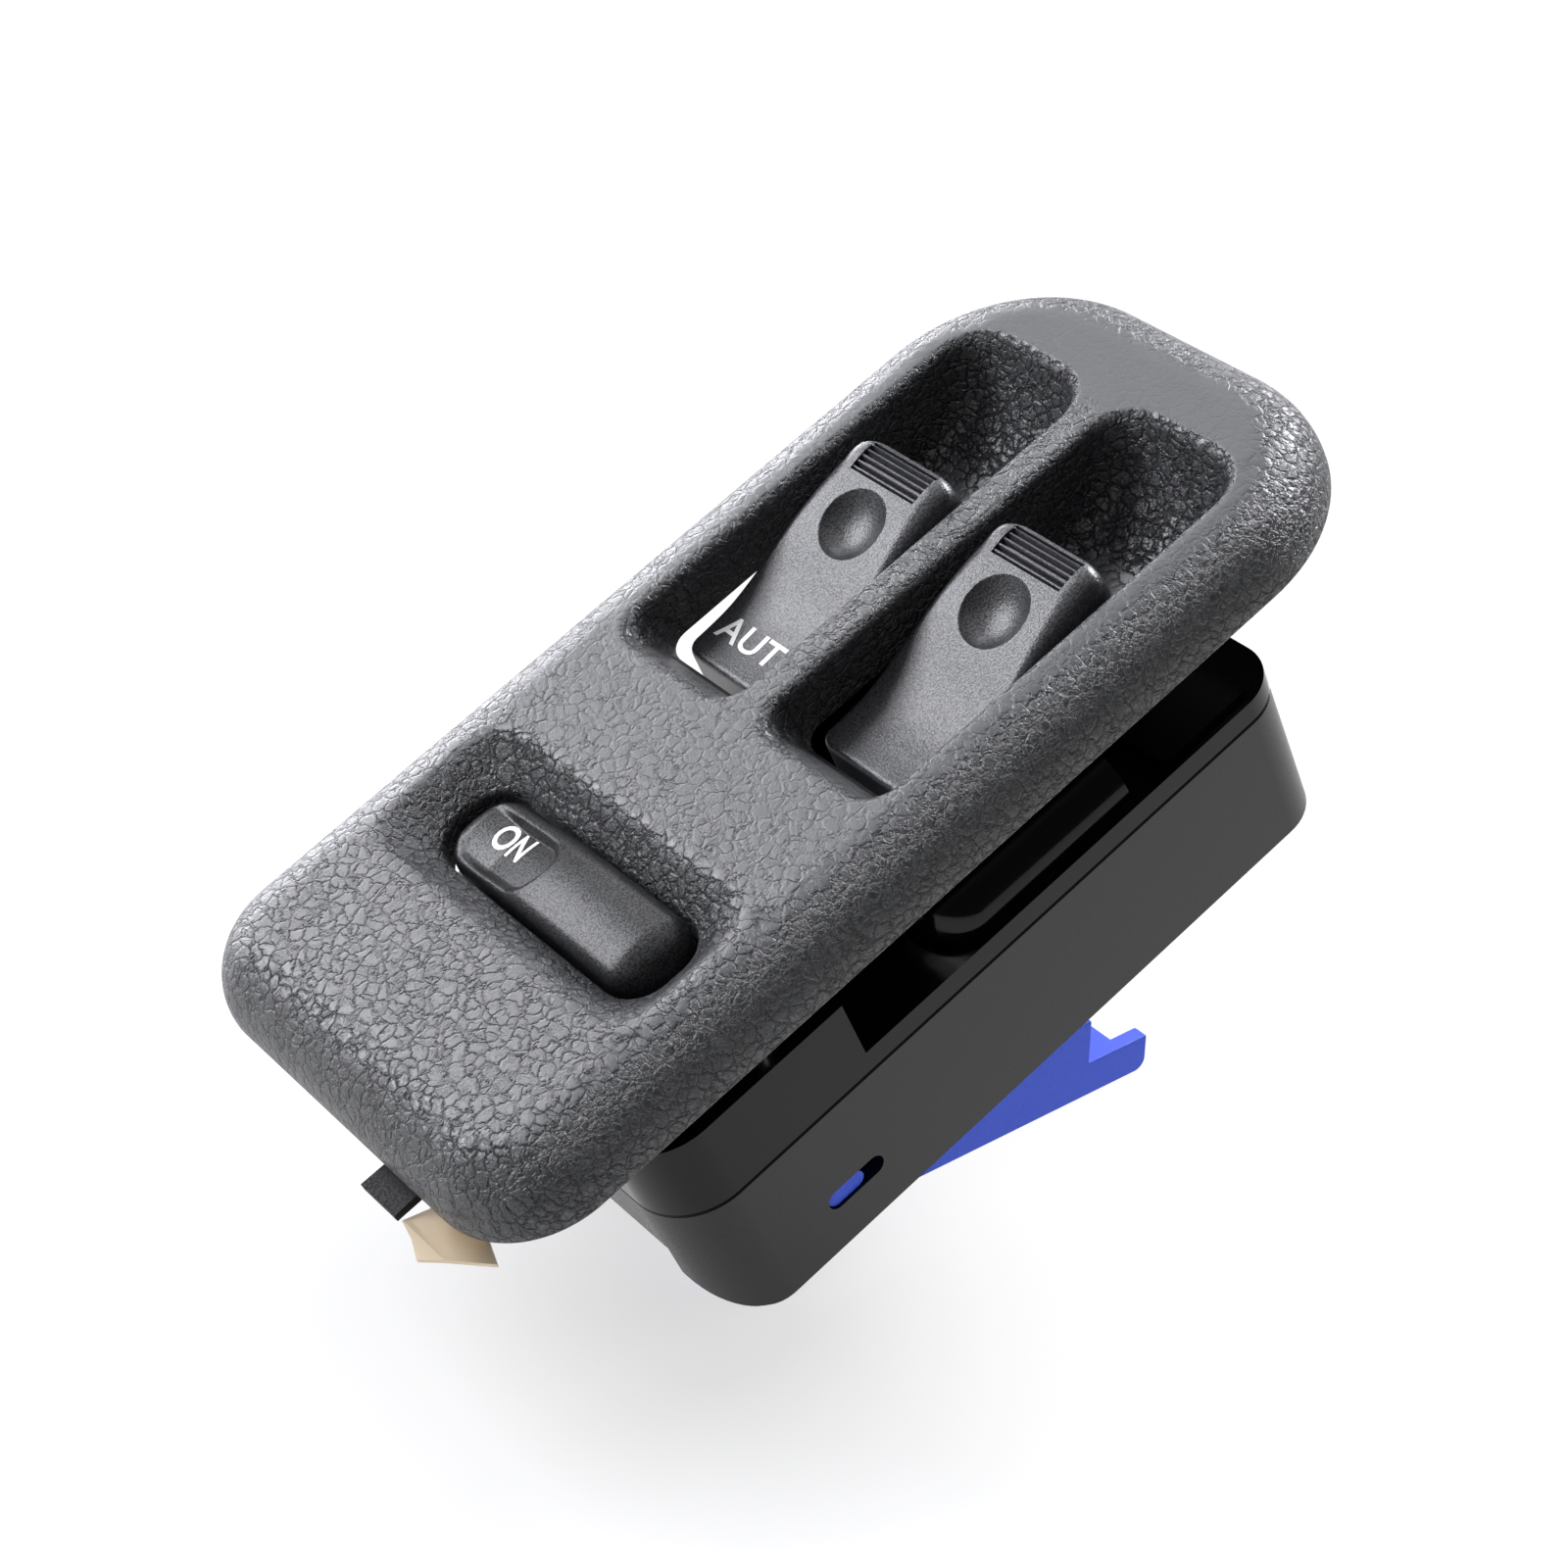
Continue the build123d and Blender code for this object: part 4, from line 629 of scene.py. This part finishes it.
# ------------------------------------------------------------------ legends
def make_legend(name, text, height, length, weight, start, surface, body, material):
    """Printed word that reads along -Y with its tops towards +X, laid on a surface z(x, y), 0.04 mm proud.

    start is the (x, y) of the first letter's foot, length is the whole word's, and weight thickens the
    strokes by that share of the height.
    """
    capital_share = 0.7
    curve = bpy.data.curves.new(name, "FONT")
    curve.body = text
    curve.size = height / capital_share
    curve.space_character = 1.02
    curve.offset = weight * height
    curve.resolution_u = 4
    writer = bpy.data.objects.new(name + "_curve", curve)
    bpy.context.scene.collection.objects.link(writer)
    mesh = writer.to_mesh()
    flat = bmesh.new()
    flat.from_mesh(mesh)
    writer.to_mesh_clear()
    bpy.data.objects.remove(writer)
    bmesh.ops.triangulate(flat, faces=flat.faces)
    for _ in range(2):
        long_edges = [edge for edge in flat.edges if edge.calc_length() > 0.5]
        bmesh.ops.subdivide_edges(flat, edges=long_edges, cuts=1)
        bmesh.ops.triangulate(flat, faces=flat.faces)
    written = np.array([vert.co[:2] for vert in flat.verts])
    faces = [[vert.index for vert in face.verts] for face in flat.faces]
    flat.free()
    along = (written[:, 0] - written[:, 0].min()) * length / np.ptp(written[:, 0])
    x = start[0] + written[:, 1]
    y = start[1] - along
    points = np.column_stack([x, y, surface(x, y) + 0.04])
    mesh_piece(name, points, faces, body, material, merge=0.0001)


# ------------------------------------------------------------------ materials
def colour(hexcode, factor=1.0):
    """Linear colour from an sRGB hex value, made lighter or darker by a factor."""
    values = [int(hexcode[i:i + 2], 16) / 255 for i in (1, 3, 5)]
    linear = [v / 12.92 if v <= 0.04045 else ((v + 0.055) / 1.055) ** 2.4 for v in values]
    return tuple(v * factor for v in linear) + (1.0,)


def new_material(name):
    """Empty node material and its tree."""
    material = bpy.data.materials.new(name)
    material.use_nodes = True
    material.node_tree.nodes.clear()
    return material, material.node_tree


def node(tree, kind, links=None, **settings):
    """Adds a node. A link's source is a socket, or a node whose first output it then takes.

    Settings that name an input socket, with _ for a space, set its value. The rest are the node's properties.
    """
    made = tree.nodes.new("ShaderNode" + kind)
    for key, value in settings.items():
        if hasattr(made, key):
            setattr(made, key, value)
        else:
            made.inputs[key.replace("_", " ")].default_value = value
    for socket, source in (links or {}).items():
        output = source.outputs[0] if isinstance(source, bpy.types.Node) else source
        tree.links.new(output, made.inputs[socket])
    return made


def weighted_sum(tree, *parts):
    """Sum of (source, weight) pairs: each step multiplies by a weight and adds the sum so far."""
    total = None
    for source, weight in parts:
        step = node(tree, "Math", {0: source}, operation="MULTIPLY_ADD")
        step.inputs[1].default_value = weight
        step.inputs[2].default_value = 0.0
        if total is not None:
            tree.links.new(total, step.inputs[2])
        total = step.outputs[0]
    return total


def leather_grained_pp():
    """Polypropylene from a leather-etched tool: flat cells of about 1.7 mm parted by thin broken creases."""
    material, tree = new_material("leather_grained_polypropylene")
    smooth = "SMOOTHSTEP"
    place = node(tree, "TexCoord").outputs["Object"]
    # cells run a fifth longer along Y
    longer = node(tree, "VectorMath", {0: place}, operation="MULTIPLY")
    longer.inputs[1].default_value = (1.0, 0.84, 1.0)
    # three noises bend the cells' edges: by up to 0.7, 0.35 and 0.12 mm
    bent = longer
    for scale, reach in ((440.0, 0.0014), (1600.0, 0.0007), (4200.0, 0.00025)):
        bend = node(tree, "TexNoise", {"Vector": place}, Scale=scale, Detail=1.0).outputs["Color"]
        shift = node(tree, "VectorMath", {0: bend}, operation="SCALE", Scale=reach)
        bent = node(tree, "VectorMath", {0: bent, 1: shift}, operation="ADD")
    # cells of 1.7 mm, and of 0.8 mm between the fine creases
    cells = node(tree, "TexVoronoi", {"Vector": bent}, feature="DISTANCE_TO_EDGE", Scale=585.0)
    small = node(tree, "TexVoronoi", {"Vector": bent}, feature="DISTANCE_TO_EDGE", Scale=1250.0)
    # a crease fades out and comes back along its way, most where the pattern is faint
    depth = node(tree, "Attribute", attribute_name="grain_depth").outputs["Fac"]
    patch = node(tree, "TexNoise", {"Vector": place}, Scale=420.0, Detail=2.0)
    kept = node(tree, "MapRange", {"Value": weighted_sum(tree, (patch, 1.0), (depth, 0.2))},
                interpolation_type=smooth, From_Min=0.52, From_Max=0.68, To_Min=0.12, To_Max=1.0)
    crease = node(tree, "MapRange", {"Value": cells},
                  interpolation_type=smooth, From_Min=0.0, From_Max=0.07, To_Min=1.0, To_Max=0.0)
    groove = node(tree, "Math", {0: crease, 1: kept}, operation="MULTIPLY")
    # the fine creases appear in patches on the top and all over the slopes
    fine = node(tree, "MapRange", {"Value": small},
                interpolation_type=smooth, From_Min=0.0, From_Max=0.1, To_Min=1.0, To_Max=0.0)
    in_patches = node(tree, "MapRange", {"Value": patch},
                      interpolation_type=smooth, From_Min=0.46, From_Max=0.6, To_Min=0.3, To_Max=0.0)
    on_slopes = node(tree, "MapRange", {"Value": depth},
                     interpolation_type=smooth, From_Min=0.9, From_Max=1.3, To_Min=0.0, To_Max=0.8)
    fine_kept = node(tree, "Math", {0: in_patches, 1: on_slopes}, operation="MAXIMUM")
    branch = node(tree, "Math", {0: fine, 1: fine_kept}, operation="MULTIPLY")
    island = node(tree, "MapRange", {"Value": cells},
                  interpolation_type=smooth, From_Min=0.0, From_Max=0.22, To_Min=0.0, To_Max=1.0)
    swell = node(tree, "TexNoise", {"Vector": place}, Scale=900.0, Detail=1.0)
    pebble = node(tree, "TexNoise", {"Vector": place}, Scale=4200.0, Detail=2.0)
    high = weighted_sum(tree, (groove, -1.0), (branch, -0.8), (island, 0.5), (swell, 0.2), (pebble, 0.18))
    bump = node(tree, "Bump", {"Height": high, "Strength": depth}, Distance=0.00022)
    # painted shade: in the creases and the valleys between cells the colour is mixed towards a darker shade
    # colour and the sheen is lowered, standing in for the light that hardly leaves a deep crease
    faint = node(tree, "MapRange", {"Value": depth},
                 interpolation_type=smooth, From_Min=0.0, From_Max=0.9, To_Min=0.0, To_Max=1.0)
    steep = node(tree, "MapRange", {"Value": depth},
                 interpolation_type=smooth, From_Min=0.9, From_Max=1.3, To_Min=1.0, To_Max=0.55)
    full = node(tree, "Math", {0: faint, 1: steep}, operation="MULTIPLY")
    valley_shade = node(tree, "MapRange", {"Value": island},
                  interpolation_type=smooth, From_Min=0.0, From_Max=1.0, To_Min=0.3, To_Max=0.0)
    darkest_shade = node(tree, "Math", {0: groove, 1: valley_shade}, operation="MAXIMUM")
    painted_crease_shade = node(tree, "Math", {0: darkest_shade, 1: full}, operation="MULTIPLY")
    sheen = node(tree, "MapRange", {"Value": painted_crease_shade},
                 interpolation_type=smooth, From_Min=0.0, From_Max=0.9, To_Min=1.0, To_Max=0.32)
    tone = node(tree, "Mix", {"Factor": painted_crease_shade}, data_type="RGBA",
                A=colour(BEZEL_COLOUR), B=colour(CREASE_SHADE_COLOUR))
    rough = node(tree, "MapRange", {"Value": pebble},
                 interpolation_type=smooth, From_Min=0.3, From_Max=0.7, To_Min=0.38, To_Max=0.5)
    shader = node(tree, "BsdfPrincipled", {"Normal": bump, "Base Color": tone.outputs["Result"],
                                           "Roughness": rough, "Specular IOR Level": sheen}, IOR=1.54)
    node(tree, "OutputMaterial", {"Surface": shader})
    return material


def plain_plastic(name, hexcode, roughness, grain_per_metre, grain_depth, strength=0.4, sheen=0.5,
                  speckle=0.0):
    """Moulded plastic with a fine even texture and a slow drift of its tone.

    sheen is its mean reflection, and speckle is how far the grain varies that.
    """
    material, tree = new_material(name)
    smooth = "SMOOTHSTEP"
    place = node(tree, "TexCoord").outputs["Object"]
    grain = node(tree, "TexNoise", {"Vector": place}, Scale=grain_per_metre, Detail=2.0)
    drift = node(tree, "TexNoise", {"Vector": place}, Scale=60.0, Detail=2.0)
    bump = node(tree, "Bump", {"Height": grain}, Strength=strength, Distance=grain_depth)
    tone = node(tree, "Mix", {"Factor": drift}, data_type="RGBA",
                A=colour(hexcode, 0.94), B=colour(hexcode, 1.06))
    rough = node(tree, "MapRange", {"Value": grain}, interpolation_type=smooth, From_Min=0.35, From_Max=0.65,
                 To_Min=roughness * 0.85, To_Max=roughness * 1.15)
    glint = node(tree, "MapRange", {"Value": grain}, interpolation_type=smooth, From_Min=0.36, From_Max=0.64,
                 To_Min=sheen * (1 - speckle), To_Max=sheen * (1 + speckle))
    shader = node(tree, "BsdfPrincipled", {"Normal": bump, "Base Color": tone.outputs["Result"],
                                           "Roughness": rough, "Specular IOR Level": glint}, IOR=1.5)
    node(tree, "OutputMaterial", {"Surface": shader})
    return material


def plain_metal(name, hexcode, roughness, metallic=1.0):
    """Rolled or drawn metal whose roughness varies a little from place to place."""
    material, tree = new_material(name)
    place = node(tree, "TexCoord").outputs["Object"]
    mottle = node(tree, "TexNoise", {"Vector": place}, Scale=1500.0, Detail=3.0)
    rough = node(tree, "MapRange", {"Value": mottle}, To_Min=roughness * 0.8, To_Max=roughness * 1.2)
    shader = node(tree, "BsdfPrincipled", {"Roughness": rough}, Metallic=metallic, Base_Color=colour(hexcode))
    node(tree, "OutputMaterial", {"Surface": shader})
    return material


def dress(name, material):
    """Gives a CAD node one material."""
    mesh = nodes[name].data
    mesh.materials.clear()
    mesh.materials.append(material)


# ------------------------------------------------------------------ pieces and finishes
# moulded grey-black skin with etched creases, with shade painted into the creases so that they look darker
# than its cells
grained = leather_grained_pp()
# the same plastic without its etching, seen only from below: painted near black as shade, much darker than
# the bezel's own grey-black
inside = plain_plastic("polypropylene_painted_shade_black", "#0b0b0c", 0.6, 3000.0, 0.00002, 0.4, 0.25)
# eroded tool: fine glittering dots, drawn at 0.26 mm because the real 0.1 mm is too fine to show
eroded = plain_plastic("spark_eroded_abs", KEY_COLOUR, 0.38, 3800.0, 0.00009, 0.7, 0.8, 0.45)
rocker_abs = plain_plastic("fine_eroded_abs", "#121316", 0.37, 3800.0, 0.00007, 0.6, 0.48, 0.5)
# polished tool: a mirror-like black deck
polished = plain_plastic("polished_black_abs", "#060607", 0.12, 900.0, 0.00001, 0.05, 0.25)
# stoned tool: soft sheen on black
satin = plain_plastic("satin_black_nylon", "#0b0c11", 0.3, 4000.0, 0.00001, 0.2, 0.46)
# dyed through: strong even blue, slightly dull
blue = plain_plastic("blue_pbt", "#2653e8", 0.5, 3000.0, 0.00002)
# glass-filled black of relays, chip and header: dull
dark = plain_plastic("black_pbt", "#141516", 0.5, 4000.0, 0.00002)
# undyed sliding plastic: warm white
acetal = plain_plastic("natural_acetal", "#d9d5c8", 0.4, 3000.0, 0.00001)
# lacquer over a glass-fibre board: even green
laminate = plain_plastic("green_solder_resist", "#1e6b3c", 0.3, 2500.0, 0.00001)
# pad-printed ink: flat white
white_ink = plain_plastic("white_pad_print", "#fbfbfa", 0.5, 6000.0, 0.00001)
# yellow passivated plating: pale gold, half dulled by its coat
zinc = plain_metal("yellow_zinc_spring_steel", "#dccbb0", 0.55, 0.45)
# bright plating: light grey metal
steel = plain_metal("zinc_plated_steel", "#b4b5b8", 0.35)
# thin tin on brass: the brass's yellow shows through
brass = plain_metal("tinned_brass", "#c79a4b", 0.3)
# deep-drawn can: clean silver grey
can = plain_metal("drawn_aluminium", "#b9bcc0", 0.3)

finishes = {
    "end_clip": zinc, "key_pivot_pins": steel, "lock_pivot_pin": steel, "fixed_contacts": brass,
    "circuit_board": laminate, "board_screws": steel, "header_terminals": brass,
    "relay_left": dark, "relay_right": dark, "control_chip": dark, "filter_capacitor": can,
    "board_resistors": dark, "suppressor_diodes": dark, "case_screws": steel, "bezel_screws": steel,
}
for set_name in ("auto", "plain", "lock"):
    finishes[f"{set_name}_plunger"] = acetal
    finishes[f"{set_name}_return_spring"] = steel
    finishes[f"{set_name}_contact"] = brass
for finished, finish in finishes.items():
    dress(finished, finish)

make_bezel(grained)
make_bezel_inside(inside)
make_key("key_skin_auto", POCKET_Y, "auto_key", "window_key_auto", eroded)
make_key("key_skin_plain", -POCKET_Y, "plain_key", "window_key_plain", eroded)
make_rocker(rocker_abs)
make_legend("auto_legend", "AUTO", 3.7, 16.9, 0.02, (4.6, 22.5), lambda x, y: key_profile(x),
            "auto_key", white_ink)
make_legend("on_legend", "ON", 3.9, 6.7, 0.03, (-37.7, 15.9), rocker_top, "lock", white_ink)
soften("upper_case", "housing", polished, 0.35)
soften("lower_case", "housing", satin, 0.3)
soften("connector_lever", "lever", blue, 0.3)
soften("connector_slide", "slide", blue, 0.25)
soften("connector_header", "housing", dark, 0.2)


# ------------------------------------------------------------------ floor, light and camera
def make_floor():
    """Pale floor under the tilted part: the plane that the case's near lower edge and the open lever rest on.

    It is clear from behind, so that it never hides the underside.
    """
    lean = math.radians(24.0)
    size = 0.9
    centre = Vector((0.0, 0.0, -0.06659))
    along = Vector((math.cos(lean), 0, -math.sin(lean))) * size
    across = Vector((0, 1, 0)) * size
    plane = bpy.data.meshes.new("floor")
    plane.from_pydata([centre - along - across, centre + along - across, centre + along + across,
                       centre - along + across], [], [(0, 1, 2, 3)])
    floor = bpy.data.objects.new("floor", plane)
    bpy.context.scene.collection.objects.link(floor)
    # paper that mostly glows white; towards -X more of it is plain paper, which shows the part's shadow
    material, tree = new_material("pale_paper_floor")
    place = node(tree, "SeparateXYZ", {"Vector": node(tree, "TexCoord").outputs["Object"]})
    share = node(tree, "MapRange", {"Value": place.outputs["X"]}, interpolation_type="SMOOTHSTEP",
                 From_Min=-0.065, From_Max=-0.005, To_Min=0.6, To_Max=0.96)
    paper = node(tree, "BsdfDiffuse", Color=colour("#f4f4f4"))
    white = node(tree, "Emission", Strength=1.03)
    lit = node(tree, "MixShader", {"Fac": share, 1: paper, 2: white})
    behind = node(tree, "NewGeometry").outputs["Backfacing"]
    clear = node(tree, "BsdfTransparent")
    mixed = node(tree, "MixShader", {"Fac": behind, 1: lit, 2: clear})
    node(tree, "OutputMaterial", {"Surface": mixed})
    plane.materials.append(material)


def make_world():
    """White to the camera; as light on the part, brighter from +Y and above and dim from -Y and below."""
    world = bpy.data.worlds.new("studio")
    bpy.context.scene.world = world
    world.use_nodes = True
    tree = world.node_tree
    tree.nodes.clear()
    direction = node(tree, "TexCoord").outputs["Generated"]
    toward = node(tree, "VectorMath", {0: direction}, operation="DOT_PRODUCT")
    toward.inputs[1].default_value = (0.1, 0.85, 0.52)
    level = node(tree, "MapRange", {"Value": toward.outputs["Value"]}, interpolation_type="SMOOTHSTEP",
                 From_Min=-0.4, From_Max=0.75, To_Min=0.08, To_Max=0.6)
    room = node(tree, "Background", {"Strength": level}, Color=(1, 1, 1, 1))
    white = node(tree, "Background", Strength=1.0, Color=(1, 1, 1, 1))
    seen = node(tree, "LightPath").outputs["Is Camera Ray"]
    mixed = node(tree, "MixShader", {"Fac": seen, 1: room, 2: white})
    node(tree, "OutputWorld", {"Surface": mixed})


def soft_box(name, place, target, width, height, power):
    """Oblong area lamp at a place, turned to its target."""
    lamp = bpy.data.lights.new(name, "AREA")
    lamp.shape = "RECTANGLE"
    lamp.size = width
    lamp.size_y = height
    lamp.energy = power
    lamp.color = LAMP_COLOUR
    lamp_object = bpy.data.objects.new(name, lamp)
    lamp_object.location = place
    lamp_object.rotation_euler = (Vector(target) - Vector(place)).to_track_quat("-Z", "Y").to_euler()
    bpy.context.scene.collection.objects.link(lamp_object)


def make_camera():
    """Camera above and in front of the near end, rolled so that the part runs up to the right."""
    forward = Vector((0.2534, 0.6645, -0.703)).normalized()
    right = Vector((0.7268, -0.6103, -0.3149))
    right = (right - right.dot(forward) * forward).normalized()
    up = right.cross(forward)
    camera = bpy.data.cameras.new("camera")
    camera.sensor_width = 36.0
    camera.lens = 81.2
    camera.clip_start = 0.01
    viewer = bpy.data.objects.new("camera", camera)
    turn = Matrix((right, up, -forward)).transposed().to_4x4()
    viewer.matrix_world = Matrix.Translation((-0.11886, -0.29989, 0.31129)) @ turn
    bpy.context.scene.collection.objects.link(viewer)
    bpy.context.scene.camera = viewer


make_floor()
make_world()
soft_box("key_light", (-0.16, 0.64, 0.64), (0, 0, 0), 0.6, 0.32, 8.6)
soft_box("back_light", (0.54, 0.56, 0.6), (0, 0, 0), 0.4, 0.3, 1.6)
soft_box("top_light", (0.36, -0.05, 0.85), (0, 0, -0.02), 0.6, 0.6, 0.9)
soft_box("far_light", (0.9, 0.2, 0.1), (0, 0, 0), 0.35, 0.3, 13.0)
soft_box("side_light", (0.02, 0.86, 0.0), (0, 0, 0), 1.1, 0.12, 14.0)
make_camera()
bpy.context.scene.view_settings.view_transform = "Standard"
